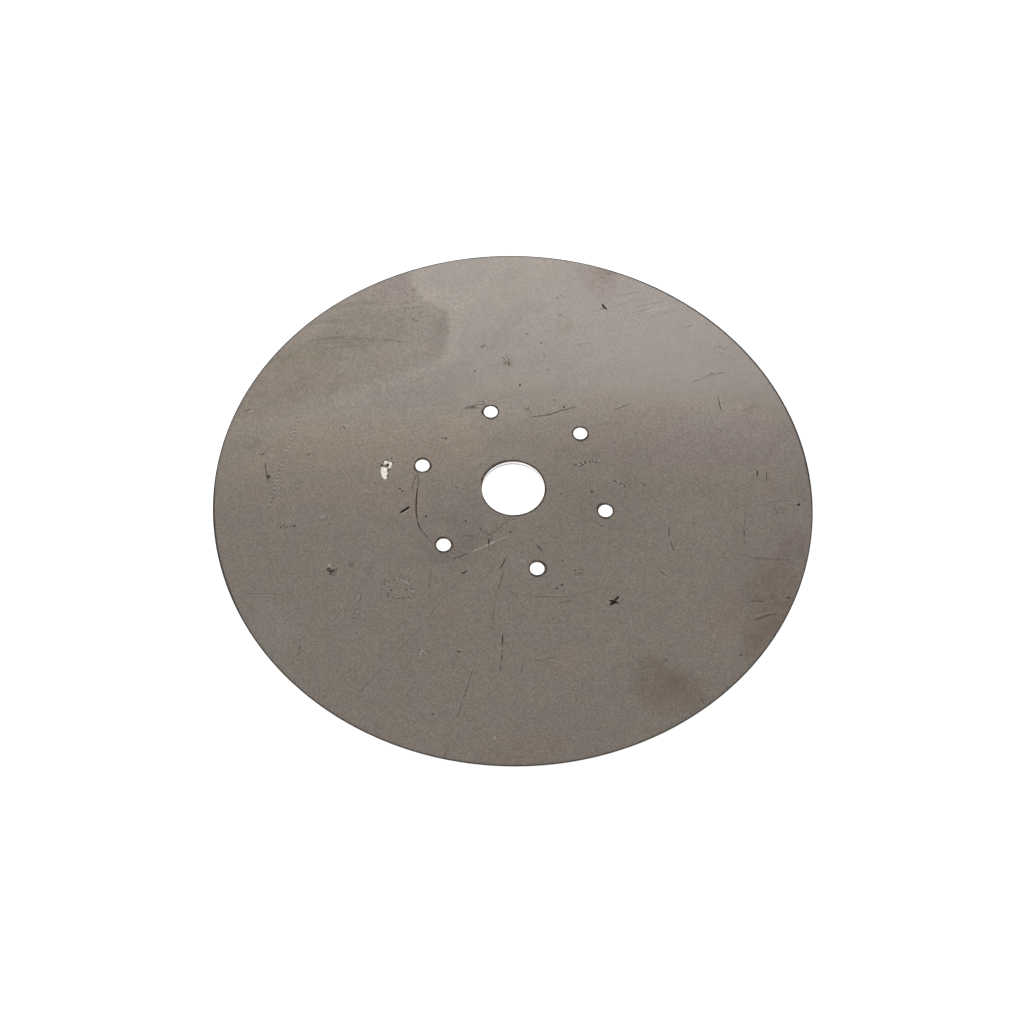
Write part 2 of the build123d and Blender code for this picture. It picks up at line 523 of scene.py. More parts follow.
cut("far_curl", 0.70, 0.16, (474.6, 344.4), (482, 346.4), (488.6, 348.2), broken=0.6)
scatter("far_curl_specks", 8, 0.75, 0.65, (475, 342), (489, 343), (489, 351), (478, 350))
nick("far_spots", 1.20, 0.80, (509, 363.6))
scatter("right_cluster", 13, 0.75, 0.58, (771, 504), (785, 503), (784, 517), (771, 517))
cut("right_band", 1.60, 0.16, (766, 503), (778, 501.6), (793, 500.4), broken=0.4)
scatter("far_cluster", 12, 0.85, 0.75, (496, 360), (504, 356), (513, 358), (513, 367), (503, 367))
nick("far_specks", 0.75, 0.75, (407, 302), (506.6, 357), (421, 296), (425, 288), (505, 364))
scatter("far_specks_right", 7, 0.75, 0.55, (558, 285), (569, 286), (564, 300), (555, 299))
scatter("upper_curl_far", 4, 0.70, 0.50, (538, 340), (544, 340), (549, 372), (543, 372))
scatter("far_right_specks_a", 10, 0.75, 0.50, (713, 342), (728, 340), (730, 356), (714, 358))
scatter("far_right_specks_b", 13, 0.75, 0.48, (730, 392), (758, 392), (766, 436), (746, 430))
scatter("brown_specks", 11, 0.75, 0.50, (588, 268), (614, 266), (616, 290), (596, 298))
nick("left_dull_spots", 1.72, 0.40, (308.5, 454.6), (375.3, 483.2), (456.6, 487.3))
nick("far_dull_spots", 2.18, 0.30, (414, 290), (474.6, 371), (527, 334), (541, 343), (560, 315))
print("marks so far:", len(cuts))

# %% [markdown]
# At the left there are dotted chafe lines and a short hook, crumbs of dirt
# round the fleck of paint, and wide faint streaks and specks that give the
# painted dark reflection its texture. Those streaks hold so little soot that
# they only tint the steel.

# %% Chafe lines and streaks on the left
cut("left_hook", 0.77, 0.72, (264.8, 462), (266, 470), (268.6, 482))
nick("left_hook_spot", 3.22, 0.72, (268.3, 476.8))
dotted("chafe_a", 0.80, 0.64, 0.12, 1.5, (298, 417), (293.4, 433), (287, 451))
dotted("chafe_c", 0.77, 0.45, 0.10, 2.2, (296.6, 482), (296, 500), (295.6, 520))
dotted("chafe_b", 0.88, 0.72, 0.13, 1.5, (282, 462), (275, 486), (269.4, 508))
scatter("chafe_cluster", 8, 0.86, 0.75, (254, 450), (270, 448), (268, 456), (256, 457))
cut("left_tick", 0.62, 0.87, (343, 425.6), (345.6, 429.4))
nick("fleck_dirt", 1.75, 0.97, (387.8, 464.8), (381.8, 465.3))
nick("fleck_dirt_small", 1.30, 0.95, (387, 460), (388.2, 470.2), (387.8, 475.6), (386, 465.6))
nick("fleck_crumbs", 1.00, 0.80, (391.4, 458.4), (383.2, 462), (393.4, 462.6), (390, 469.4))
cut("film_line", 0.50, 0.22, (296, 345.6), (330, 343), (366, 341.6), (385, 340), broken=0.5)
cut("film_line_end", 0.55, 0.32, (383, 339.4), (392, 340.4), (402, 341.8), broken=0.4)
nick("film_line_spot", 1.15, 0.70, (399.6, 341.8))
cut("rim_side_tick", 0.90, 0.80, (245.6, 410.4), (251, 409.6), broken=0.2)
cut("rim_side_light", 0.60, 0.0, (248, 411.4), (254, 410), shine=0.12)
cut("film_line_low", 0.60, 0.24, (310, 350), (340, 347), (372, 345), broken=0.6)
# painted reflection: wide faint streaks and specks in the dark reflected patch
cut("film_streak_a", 5.00, 0.08, (296, 326), (326, 322), (362, 321), broken=0.5)
cut("film_streak_b", 4.00, 0.13, (306, 342), (338, 338), (396, 341), broken=0.5)
cut("film_streak_c", 5.00, 0.04, (262, 366), (286, 358), (318, 357), broken=0.5)
cut("film_streak_d", 4.00, 0.11, (336, 308), (360, 303), (386, 305), broken=0.5)
scatter("film_specks", 26, 0.70, 0.62, (396, 274), (424, 298), (446, 326), (440, 348), (404, 332),
        (388, 296))
print("marks so far:", len(cuts))

# %% [markdown]
# At the right there are short ticks near the rim, a drag mark, and a few wavy
# smears. The thin head and the tail of the hooked cut are laid last.

# %% Ticks, drags and smears on the right
cut("rim_tick_a", 1.00, 0.82, (757.8, 470), (757.4, 473), (756.6, 476.6))
cut("rim_tick_b", 0.70, 0.65, (766.6, 470.6), (766.8, 482))
cut("right_drag_hair", 0.40, 0.30, (668.6, 508), (668.8, 526), broken=0.4)
cut("right_drag", 0.70, 0.72, (669.2, 527), (669, 536.6))
cut("right_drag_low", 0.70, 0.80, (670.8, 540.6), (672, 546), (674, 551.4), broken=0.3)
cut("right_dots_a", 0.55, 0.62, (744.8, 519), (744.9, 526))
cut("right_dots_b", 0.70, 0.68, (743.8, 528.6), (744.4, 536.6))
cut("right_dots_c", 0.60, 0.62, (744.6, 539.6), (744.9, 544))
scatter("right_dots_light", 8, 0.69, 0.45, (741, 500), (749, 500), (748, 520), (742, 520))
cut("right_light_b", 0.30, 0.0, (661, 570), (668, 574), shine=0.22)
cut("right_short", 0.65, 0.72, (659, 570.4), (662.4, 572.4), (666.6, 575))
cut("right_wave", 1.40, 0.28, (736, 553), (752, 557.6), (768, 559), (791, 560), broken=0.4)
cut("rim_tick_c", 1.10, 0.92, (786.6, 597), (790.6, 598.4))
cut("right_low_wave", 1.25, 0.52, (754, 621), (764, 616.4), (777, 613.4), broken=0.3)
cut("right_low_light", 0.90, 0.0, (755, 616.6), (764, 613.6), (774, 611.6), shine=0.07)
cut("right_low_dash", 0.95, 0.52, (747.6, 602), (755, 601), (764, 601.6), broken=0.3)
cut("near_right_tick", 0.75, 0.59, (700.6, 697), (704.4, 705))
nick("right_spots", 2.18, 0.90, (798.6, 504.6))
nick("right_low_spot", 1.49, 0.75, (740.8, 655))
cut("hook_head", 0.62, 0.80, (417, 471), (418.4, 479), (417.8, 487), broken=0.4)
cut("hook_low", 0.75, 0.92, (417.4, 520), (419, 526), (422.6, 531.4))
cut("hook_end", 0.60, 0.80, (422, 530.4), (427, 537), (433, 544.4), broken=0.4)
widest = max(cuts, key=lambda one: one["half_width"].max())
print("cuts and nicks:", len(cuts), "and the widest is", widest["name"])

# %% [markdown]
# ## The face that carries the cuts
#
# A regular grid fine enough for a half-millimetre groove would need millions
# of squares. A constrained Delaunay triangulation needs far fewer: it is given
# the rims, the lines that run along every groove and an even fill between
# them, and it joins them with triangles that never cross a given line. The
# fill is a honeycomb, which is left out close to the grooves, where it would
# only make splinters.

# %% Lines along the grooves
# In half widths: the lip's foot, the shoulder, where the soot begins to fade, and the floor
columns_across = np.array([-1.9, -1.0, -0.7, 0.0, 0.7, 1.0, 1.9])


def groove_lines(one):
    """Points and chains of a cut's lines: course + column x half width x the normal to the course."""
    along = np.gradient(one["course"], axis=0)
    along /= np.hypot(along[:, 0], along[:, 1])[:, None]
    normal = np.column_stack([-along[:, 1], along[:, 0]])
    reach = columns_across[:, None] * one["half_width"]
    lines = one["course"] + reach[..., None] * normal
    index = np.arange(lines.shape[0] * lines.shape[1]).reshape(lines.shape[:2])
    chains = np.stack([index[:, :-1], index[:, 1:]], axis=-1).reshape(-1, 2)
    return lines.reshape(-1, 2), chains


def stacked(pieces):
    """Joins (points, index rows) pairs into one, with every index moved past the points before it."""
    counts = np.cumsum([0] + [len(points) for points, _ in pieces])
    rows = [index + count for (_, index), count in zip(pieces, counts)]
    return np.vstack([points for points, _ in pieces]), np.vstack(rows)


def loop_of(points):
    """One ring's points as a closed chain."""
    index = np.arange(len(points))
    return points[:, :2], np.column_stack([index, np.roll(index, -1)])


print("lines along each groove:", len(columns_across))

# %% [markdown]
# The fill is laid in staggered rows, because those make even triangles. A
# coarse map of squares tells quickly which fill points come too near to a
# groove, with no search through all its points.

# %% An even fill
def honeycomb(spacing, keep_off, clear):
    """Points in staggered rows over the disc, none nearer than about clear to the points to keep off.

    Row k lies at k spacing sqrt(3) / 2 and every second row is moved by half a spacing. The
    keep-off points mark squares of the size clear, and a fill point in or beside one is dropped.
    """
    across = np.arange(-disc_radius, disc_radius, spacing)
    away = np.arange(-disc_radius, disc_radius, spacing * math.sqrt(3) / 2)
    x, y = np.meshgrid(across, away)
    x = x + (np.arange(len(away)) % 2)[:, None] * spacing / 2
    fill = np.column_stack([x.ravel(), y.ravel()])
    side = int(2 * disc_radius / clear) + 4
    taken = np.zeros((side, side), bool)
    marked = ((keep_off + disc_radius) / clear).astype(int) + 1
    for dx in (-1, 0, 1):
        for dy in (-1, 0, 1):
            taken[marked[:, 0] + dx, marked[:, 1] + dy] = True
    squares = ((fill + disc_radius) / clear).astype(int) + 1
    return fill[~taken[squares[:, 0], squares[:, 1]]]


print("fill rows are", round(math.sqrt(3) / 2, 3), "of the fill's spacing apart")

# %% [markdown]
# Each rim gets a second, tight ring beside it. A smooth shaded arris tilts the
# normals of every triangle that touches it, so without that ring a dull band
# as wide as the fill's spacing would run round every hole.

# %% Fill a flat face between its rims
support_gap = 0.2          # the second ring beside every rim
rim_clear = 0.4            # grooves and fill stay this far from every rim
line_clear = 0.45          # and fill stays this share of its spacing away from every line
same_point = 1e-6          # what the triangulation takes for one point
upper_spacing = 2.5        # of the fill in the marked face, and in the plain one
lower_spacing = 4.5


def clear_of_rims(points, outer, inner, hole_edge, margin):
    """True for the points that lie on the face, at least margin inside every rim of it."""
    radius = np.hypot(points[:, 0], points[:, 1])
    clear = (radius < outer - margin) & (radius > inner + margin)
    to_holes = np.hypot(*np.moveaxis(points[:, None] - hole_centres, -1, 0))
    return clear & (to_holes > hole_edge + margin).all(axis=1)


def trimmed(points, chains, keep):
    """The kept points, and the chains that only join kept points, with their indices moved up."""
    new_index = np.cumsum(keep) - 1
    return points[keep], new_index[chains[keep[chains].all(axis=1)]]


def flat_face(outer_ring, bore_ring, hole_edge, lines, spacing):
    """Corners and triangles of the face between its outer ring, the bore and the bolt holes."""
    outer, inner = (np.hypot(ring[0, 0], ring[0, 1]) for ring in (outer_ring, bore_ring))
    rings = [loop_of(outer_ring), loop_of(outer_ring * (1 - support_gap / outer))]
    rings += [loop_of(bore_ring), loop_of(bore_ring * (1 + support_gap / inner))]
    edge_and_support = np.array([(hole_edge, 0.0), (hole_edge + support_gap, 0.0)])
    for centre in hole_centres:
        rings += [loop_of(ring) for ring in ring_grid(edge_and_support, hole_steps, centre)[0]]
    kept_lines = [
        trimmed(points, chains, clear_of_rims(points, outer, inner, hole_edge, rim_clear))
        for points, chains in lines
    ]
    given, chains = stacked(rings + kept_lines)
    fill = honeycomb(spacing, given, line_clear * spacing)
    fill = fill[clear_of_rims(fill, outer, inner, hole_edge, rim_clear)]
    points = np.vstack([given, fill])
    found = delaunay_2d_cdt(points.tolist(), chains.tolist(), [], 0, same_point)
    corners, triangles = np.array(found[0]), np.array(found[2])
    middle = corners[triangles].mean(axis=1)
    inner_side = inner * math.cos(math.pi / bore_steps)
    hole_side = hole_edge * math.cos(math.pi / hole_steps)
    to_holes = np.hypot(*np.moveaxis(middle[:, None] - hole_centres, -1, 0))
    on_face = (np.hypot(*middle.T) > inner_side) & (to_holes > hole_side).all(axis=1)
    return corners, triangles[on_face]


cut_lines = [groove_lines(one) for one in cuts]
upper_hole_edge = hole_radius + hole_roll
upper, upper_triangles = flat_face(
    rim_points[-1], bore_points[-1], upper_hole_edge, cut_lines, upper_spacing)
lower, lower_triangles = flat_face(rim_points[0], bore_points[0], hole_radius, [], lower_spacing)
print("upper face", len(upper_triangles), "triangles, lower face", len(lower_triangles))

# %% [markdown]
# Every groove is a height formula of one number: how far a point lies from
# the cut's course, counted in half widths. The same number also says how much
# soot lies in the floor and how bright the lip is rubbed, so those are kept
# on the vertices as attributes, and the steel's material reads them later.

# %% Sink the grooves
groove_depth_share = 0.42  # of a groove's half width
lip_height_share = 0.03
greatest_half_width = 0.4  # a wider mark is no deeper than one of this half width
# The rest is in half widths from the course
course_reach = 2.2         # no point further out is looked at
lip_start, lip_reach = 0.55, 0.9
soot_end, soot_fade = 1.02, 0.32


def nearest_on_course(points, course):
    """Distance to the course and the place along it, as a fractional index, for each point."""
    start, step = course[:-1], np.diff(course, axis=0)
    offset = points[:, None] - start
    along = np.clip((offset * step).sum(-1) / (step**2).sum(-1), 0, 1)
    gap = np.hypot(*np.moveaxis(offset - along[..., None] * step, -1, 0))
    best = gap.argmin(axis=1)
    rows = np.arange(len(points))
    return gap[rows, best], best + along[rows, best]


def sink(points, flat_height):
    """Height, soot and lip of each point of the face, over all the cuts.

    With u the distance in half widths, the groove is 1 - u, the lip is a ridge round u = 1, and
    the soot fades over the last third before the shoulder. Where cuts cross, the greater counts.
    """
    sunk, raised, soot, lip = np.zeros((4, len(points)))
    for one in cuts:
        margin = course_reach * one["half_width"].max()
        low, high = one["course"].min(axis=0) - margin, one["course"].max(axis=0) + margin
        near = np.flatnonzero(((points > low) & (points < high)).all(axis=1))
        gap, place = nearest_on_course(points[near], one["course"])
        steps = np.arange(len(one["course"]))
        half_width = np.interp(place, steps, one["half_width"])
        u = gap / half_width
        groove = np.clip(1 - u, 0, 1)
        ridge = np.clip(1 - np.abs(u - 1) / lip_reach, 0, 1) * (u > lip_start)
        depth = one["depth"] * np.minimum(half_width, greatest_half_width)
        sunk[near] = np.maximum(sunk[near], depth * groove_depth_share * groove)
        raised[near] = np.maximum(raised[near], depth * lip_height_share * ridge)
        covered = np.clip((soot_end - u) / soot_fade, 0, 1)
        soot[near] = np.maximum(soot[near], covered * np.interp(place, steps, one["soot"]))
        lip[near] = np.maximum(lip[near], np.clip(ridge + groove, 0, 1) * one["shine"])
    return flat_height + np.where(sunk > 0, 0, raised) - sunk, soot, lip


upper_height, soot, lip = sink(upper, sheet_thickness)
upper_rims = (disc_radius - rim_roll, bore_radius + bore_roll, upper_hole_edge)
at_a_rim = ~clear_of_rims(upper, *upper_rims, (support_gap + rim_clear) / 2)
upper_height[at_a_rim] = sheet_thickness
print("deepest groove", round(float(sheet_thickness - upper_height.min()), 3), "mm, highest lip",
      round(float(upper_height.max() - sheet_thickness), 3), "mm")

# %% [markdown]
# ## Stains, heat tints and painted reflections
#
# Oil, hands and old heat have coloured the face in soft patches, and other
# patches are painted reflection on the far half. A patch is a closed outline
# with a soft edge inside which the steel takes another tint, a factor for red,
# green and blue, and is duller by some amount. Some also hide a share of the
# grain, as a thin even film does. Overlapping patches multiply. The tints stay
# on the points, and the steel's shader breaks their edges up with noise.
#
# The outlines were drawn over views of the photograph with raised contrast.
# Outlines and tints were then corrected over several rounds, where blurred
# copies of the photograph and of a render still differed.

# %% A patch and its outline
tint = np.ones((len(upper), 3))
dull = np.zeros(len(upper))
calm = np.zeros(len(upper))
outline_steps = 60         # that a patch's outline is thinned to, about
patches = []


def inside_distance(points, outline):
    """Distance to a closed outline, positive inside.

    A point is inside when a ray from it to the right crosses the outline an odd number of times.
    """
    closed = np.vstack([outline, outline[:1]])
    gap, _ = nearest_on_course(points, closed)
    (x0, y0), (x1, y1) = closed[:-1].T, closed[1:].T
    x, y = points[:, 0, None], points[:, 1, None]
    straddles = (y0 > y) != (y1 > y)
    rise = np.where(y1 == y0, 1.0, y1 - y0)
    crossings = (straddles & (x < x0 + (y - y0) * (x1 - x0) / rise)).sum(axis=1)
    return np.where(crossings % 2 == 1, gap, -gap)


def patch(name, colour, softness, *pixels, duller=0.0, calmer=0.0, widens=0.0):
    """Tints a patch of the face. softness is the width of its fading edge in millimetres.

    The share of the tint is 3 s^2 - 2 s^3, with s running from 0 to 1 across the edge. duller is
    how much polish it has lost, and calmer how much of the steel's grain it hides. The edge gets
    wider by widens with each millimetre from the first pixel.
    """
    corners = face_points(pixels)
    looped = np.vstack([corners[-1:], corners, corners[:2]])
    outline = smooth_course(looped)[0]
    outline = outline[:: max(1, len(outline) // outline_steps)]
    margin = softness + widens * np.hypot(*(outline - corners[0]).T).max()
    low, high = outline.min(axis=0) - margin, outline.max(axis=0) + margin
    near = np.flatnonzero(((upper > low) & (upper < high)).all(axis=1))
    edge = softness + widens * np.hypot(*(upper[near] - corners[0]).T)
    s = np.clip(inside_distance(upper[near], outline) / edge + 0.5, 0, 1)
    share = 3 * s**2 - 2 * s**3
    tint[near] *= 1 + share[:, None] * (np.array(colour) - 1)
    dull[near] = np.maximum(dull[near], share * duller)
    calm[near] = np.maximum(calm[near], share * calmer)
    patches.append(name)


print("tints for", len(tint), "points of the upper face")

# %% [markdown]
# A painted reflection of a dark shape lies over the left of the far half, as
# a darker and duller patch: its right edge is crisp, and it fades out to the
# left. It is one large patch whose edge widens, and smaller ones inside it
# keep it from being even; the palest of them is a painted reflection of the
# window. The rest of the far half is a little bluer and calmer than the near
# one, with a painted bluer sheen along the far rim and a brown stain at the
# top of the rim.

# %% Painted dark reflection and tints on the far half
# painted reflection of a dark shape: a darker, duller patch, and the smaller ones below that keep it uneven
patch("old_film", (0.86, 0.85, 0.85), 4, (449, 322), (449, 338), (446, 352), (432, 362), (400, 372),
      (360, 388), (300, 402), (240, 414), (215, 402), (240, 350), (300, 300), (360, 268), (408, 262),
      (411, 271), (413, 285), (422, 299), (438, 306), (447, 312), duller=0.5, widens=0.14)
patch("film_heart", (0.90, 0.91, 0.86), 14, (392, 300), (410, 315), (404, 338), (360, 350), (330, 358),
      (290, 366), (262, 370), (275, 352), (320, 336), (330, 318), (350, 304), duller=0.5)
patch("film_left_end", (0.97, 0.955, 0.93), 18, (300, 330), (350, 350), (310, 378), (240, 400),
      (215, 398), (240, 352), duller=0.3)
patch("film_top_blush", (0.985, 0.965, 0.985), 10, (377, 272), (402, 268), (412, 292), (396, 306),
      (372, 300), duller=0.2)
patch("film_right_end", (0.935, 0.94, 0.925), 4, (433, 308), (446, 312), (449, 322), (449, 334),
      (440, 336), (433, 326), duller=0.2)
patch("film_foot", (0.905, 0.90, 0.905), 18, (376, 384), (404, 376), (436, 366), (470, 362), (476, 386),
      (430, 400), (380, 404))
patch("film_left_foot", (0.955, 0.945, 0.915), 16, (232, 392), (290, 376), (330, 372), (350, 380),
      (320, 406), (250, 424), (214, 416))
patch("film_foot_rubbed", (1.045, 1.045, 1.045), 7, (408, 349), (432, 347), (434, 360), (412, 363))
patch("film_foot_smudge", (0.95, 0.95, 0.955), 6, (394, 374), (418, 364), (436, 362), (440, 373),
      (420, 379), (400, 382))
patch("film_foot_corner", (0.94, 0.94, 0.93), 6, (376, 379), (392, 378), (394, 390), (378, 391))
patch("beside_film", (0.972, 0.975, 0.985), 7, (453, 300), (466, 300), (468, 348), (455, 348))
patch("below_far_curl", (0.96, 0.96, 0.965), 7, (467, 364), (502, 364), (502, 376), (467, 376))
patch("film_smudge", (0.965, 0.965, 0.96), 5, (343, 350), (372, 350), (372, 361), (343, 361))
# painted reflection of the window: a paler spot inside the dark reflection
patch("film_rubbed", (1.035, 1.03, 1.03), 7, (268, 350), (302, 349), (302, 361), (270, 363))
# painted reflection: the far rim's sheen, toned darker and bluer
patch("far_rim_blue", (0.925, 0.94, 0.975), 9, (414, 258), (480, 255), (486, 272), (470, 286), (430, 288),
      (416, 276), calmer=0.5)
patch("beside_film_blue", (0.97, 0.973, 0.988), 8, (448, 296), (484, 290), (486, 320), (476, 342),
      (452, 344), calmer=0.5)
patch("left_of_bore_shade", (0.95, 0.96, 0.965), 18, (334, 392), (380, 384), (446, 384), (450, 424),
      (330, 424))
patch("right_rubbed_band", (1.055, 1.05, 1.055), 14, (746, 440), (784, 440), (790, 496), (752, 500))
patch("right_rim_shade", (0.96, 0.96, 0.965), 5, (780, 408), (794, 418), (808, 456), (814, 500),
      (802, 500), (792, 448), (782, 422))
patch("top_hole_shade", (0.955, 0.955, 0.935), 8, (484, 418), (510, 420), (514, 444), (484, 444))
patch("far_haze", (0.94, 0.94, 0.95), 18, (440, 262), (512, 262), (526, 290), (522, 322), (500, 352),
      (462, 352), (452, 320))
patch("far_haze_low", (0.95, 0.95, 0.96), 22, (470, 352), (560, 340), (568, 400), (520, 408), (450, 400))
# bluer and a little darker over the far half
patch("far_heat_blue", (0.92, 0.925, 0.955), 26, (452, 300), (560, 262), (700, 300), (790, 400),
      (700, 392), (560, 388), (545, 372), (440, 368), calmer=0.32)
patch("far_calm", (1, 1, 1), 20, (424, 262), (500, 258), (580, 262), (690, 310), (780, 390), (700, 400),
      (440, 400), (452, 330), calmer=0.42)
patch("far_right_shade", (0.96, 0.96, 0.945), 16, (690, 312), (740, 346), (800, 420), (770, 420),
      (716, 372), (680, 336), calmer=0.6)
patch("rim_stain_foot", (0.975, 0.968, 0.975), 8, (568, 256), (610, 262), (644, 276), (630, 288),
      (596, 284), (570, 274))
patch("far_right_blush", (0.97, 0.965, 0.968), 10, (706, 316), (740, 322), (784, 366), (764, 372),
      (722, 344))
patch("far_right_cool", (1.005, 1.02, 1.02), 12, (652, 400), (722, 396), (728, 422), (660, 424))
patch("far_right_calm", (1, 1, 1), 16, (606, 300), (660, 304), (760, 386), (690, 400), (610, 392),
      calmer=0.62)
patch("far_rim_stain", (0.93, 0.905, 0.89), 9, (582, 262), (612, 264), (618, 282), (610, 298), (594, 296),
      (584, 280))
patch("far_rim_stain_edge", (0.90, 0.885, 0.875), 6, (568, 254), (614, 260), (618, 272), (600, 277),
      (574, 269))
patch("oil_drop", (0.78, 0.80, 0.74), 4, (503, 357), (511, 357), (512, 366), (503, 366))
patch("oil_drop_right", (0.90, 0.90, 0.86), 6, (560, 318), (570, 318), (570, 332), (560, 332))
patch("oil_drop_far", (0.93, 0.92, 0.93), 5, (534, 302), (543, 302), (543, 312), (534, 312))
print("films and smudges so far:", len(patches))

# %% [markdown]
# Across the middle the face looks wiped. There is a pale warm band on the
# left of the bore, a pinker one below it, and a darker haze on the right.
# These patches are wide and soft, so that no edge shows where they overlap.

# %% Tints across the middle
patch("warm_band", (1.07, 1.045, 0.99), 14, (225, 425), (300, 418), (400, 412), (470, 418), (485, 440),
      (470, 468), (400, 474), (300, 470), (222, 478))
patch("right_haze", (0.945, 0.935, 0.93), 22, (490, 398), (600, 392), (760, 396), (800, 470), (790, 505),
      (640, 500), (560, 500), (530, 455), (490, 440))
patch("right_haze_upper", (0.965, 0.955, 0.95), 18, (530, 404), (640, 400), (770, 400), (790, 440),
      (760, 462), (600, 462), (545, 452))
patch("right_rim_haze", (0.94, 0.94, 0.95), 16, (752, 402), (790, 400), (815, 500), (806, 580),
      (770, 640), (742, 660), (736, 600), (752, 540))
patch("pink_band", (1.07, 1.02, 1.03), 10, (262, 484), (340, 481), (410, 486), (425, 496), (418, 514),
      (380, 510), (330, 500), (262, 504))
patch("right_violet", (1.0, 0.985, 1.03), 18, (612, 424), (700, 414), (780, 424), (795, 460), (720, 462),
      (620, 462))
patch("bore_left_smudge", (0.94, 0.955, 0.95), 9, (430, 492), (478, 490), (486, 508), (478, 524),
      (440, 522))
patch("low_bore_smudge", (0.955, 0.945, 0.945), 12, (428, 520), (500, 522), (507, 532), (490, 556),
      (430, 562))
patch("bore_right_shade", (0.96, 0.97, 0.965), 16, (560, 452), (640, 470), (650, 520), (600, 530),
      (560, 510))
patch("left_rim_drop", (0.905, 0.89, 0.87), 6, (238, 438), (258, 437), (259, 448), (240, 449))
print("with the bands across the middle:", len(patches))

# %% [markdown]
# The near half is the plainest. It has two brown stains, one near the rim and
# a long one beside the rim on the right. Each is a large pale patch with
# smaller ones over it where it is darkest.

# %% Stains on the near half
patch("near_stain", (0.89, 0.862, 0.85), 8, (632, 678), (641, 662), (654, 654), (668, 665), (688, 675),
      (704, 685), (706, 696), (696, 709), (670, 716), (648, 708), (636, 694), duller=0.15)
patch("near_stain_core", (0.935, 0.925, 0.91), 6, (642, 666), (656, 661), (684, 677), (694, 690),
      (678, 700), (650, 696))
patch("right_rim_stain", (0.90, 0.85, 0.83), 13, (798, 536), (780, 558), (762, 566), (746, 590),
      (754, 602), (744, 640), (752, 660), (782, 628), (806, 580), duller=0.15)
patch("right_rim_stain_top", (0.955, 0.925, 0.945), 9, (768, 536), (798, 526), (808, 545), (800, 562),
      (768, 558))
patch("right_rim_stain_low", (0.95, 0.925, 0.905), 8, (764, 606), (790, 592), (794, 606), (770, 646),
      (756, 644))
patch("right_blush", (1.01, 0.965, 0.96), 8, (708, 596), (738, 590), (744, 620), (728, 640), (706, 622))
patch("left_cool_patch", (1.03, 1.07, 1.085), 13, (230, 592), (262, 600), (288, 616), (290, 640),
      (274, 656), (248, 634))
patch("left_violet_streak", (1.02, 1.00, 1.06), 8, (366, 552), (382, 560), (372, 600), (352, 640),
      (344, 636), (360, 596))
patch("near_violet_left", (1.00, 0.98, 1.04), 8, (384, 660), (392, 664), (376, 700), (368, 696))
patch("near_violet_right", (1.00, 0.98, 1.04), 7, (412, 668), (424, 668), (420, 706), (412, 704))
print("with the stains:", len(patches))

# %% [markdown]
# Small smudges and rubbed spots come last, over the whole face. Most are only
# a few per cent darker or paler than the steel round them. One alone hardly
# shows, but without them a face looks airbrushed.

# %% Small smudges and rubbed spots
patch("low_hole_smudge", (0.895, 0.90, 0.90), 9, (424, 522), (474, 524), (476, 546), (450, 562),
      (424, 560))
patch("upper_cut_head", (0.965, 0.96, 0.96), 7, (514, 402), (540, 400), (540, 418), (514, 420))
patch("right_rubbed", (1.03, 1.025, 1.02), 8, (655, 438), (698, 436), (700, 460), (656, 462))
patch("near_stain_top", (0.91, 0.91, 0.915), 6, (656, 660), (690, 672), (686, 684), (658, 678))
patch("near_right_haze", (0.975, 0.98, 0.98), 14, (556, 640), (640, 640), (636, 700), (560, 700))
patch("right_low_haze", (0.955, 0.96, 0.96), 14, (690, 524), (748, 532), (748, 604), (700, 600))
patch("right_rim_rubbed", (1.07, 1.06, 1.055), 6, (786, 578), (806, 574), (802, 600), (788, 600))
patch("near_rim_rust", (1.03, 0.96, 0.945), 8, (486, 744), (540, 736), (566, 744), (530, 762), (494, 762))
patch("bore_right_haze", (0.97, 0.97, 0.965), 14, (518, 506), (560, 496), (640, 512), (644, 548),
      (560, 560), (514, 546))
patch("near_blush", (1.03, 0.99, 0.98), 8, (556, 652), (574, 650), (570, 668), (548, 672))
patch("left_blush", (1.04, 0.99, 0.98), 5, (438, 604), (452, 604), (450, 616), (440, 616))
patch("near_rim_right_haze", (0.96, 0.955, 0.96), 14, (660, 700), (700, 670), (752, 660), (740, 690),
      (700, 720), (650, 740))
patch("near_rim_haze", (0.955, 0.96, 0.965), 14, (488, 716), (540, 706), (610, 706), (650, 712),
      (600, 752), (520, 768), (480, 764))
patch("low_hole_edge", (0.94, 0.945, 0.945), 4, (424, 524), (456, 523), (459, 536), (438, 540),
      (434, 556), (424, 552))
patch("upper_cut_shade", (0.973, 0.973, 0.973), 9, (514, 409), (580, 405), (640, 406), (640, 422),
      (560, 430), (514, 428))
patch("right_dots_haze", (0.972, 0.972, 0.972), 8, (722, 508), (750, 508), (748, 546), (724, 546))
patch("beside_near_stain", (0.963, 0.963, 0.963), 7, (614, 670), (642, 668), (642, 700), (616, 700))
patch("near_stain_top_edge", (0.95, 0.95, 0.95), 4, (655, 659), (676, 659), (678, 669), (657, 668))
patch("near_stain_right_edge", (0.965, 0.965, 0.965), 5, (687, 671), (700, 671), (702, 684), (689, 683))
print(len(patches), "patches, with tints from", tint.min().round(2), "to", tint.max().round(2))

# %% [markdown]
# ## One closed shell
#
# The rings and the two faces meet point for point. They are stacked into one
# mesh first, with what each point knows kept as named values beside it.

# %% Stack the rings and the faces
merge_gap = 0.002
crisp_angle = math.radians(20)


def with_height(points, height):
    """Flat points lifted to a height each."""
    return np.column_stack([points, np.broadcast_to(height, len(points))])


def halves(quads):
    """Each quad as two triangles: corners 0 1 2 and 0 2 3."""
    return quads[:, [0, 1, 2, 0, 2, 3]].reshape(-1, 3)


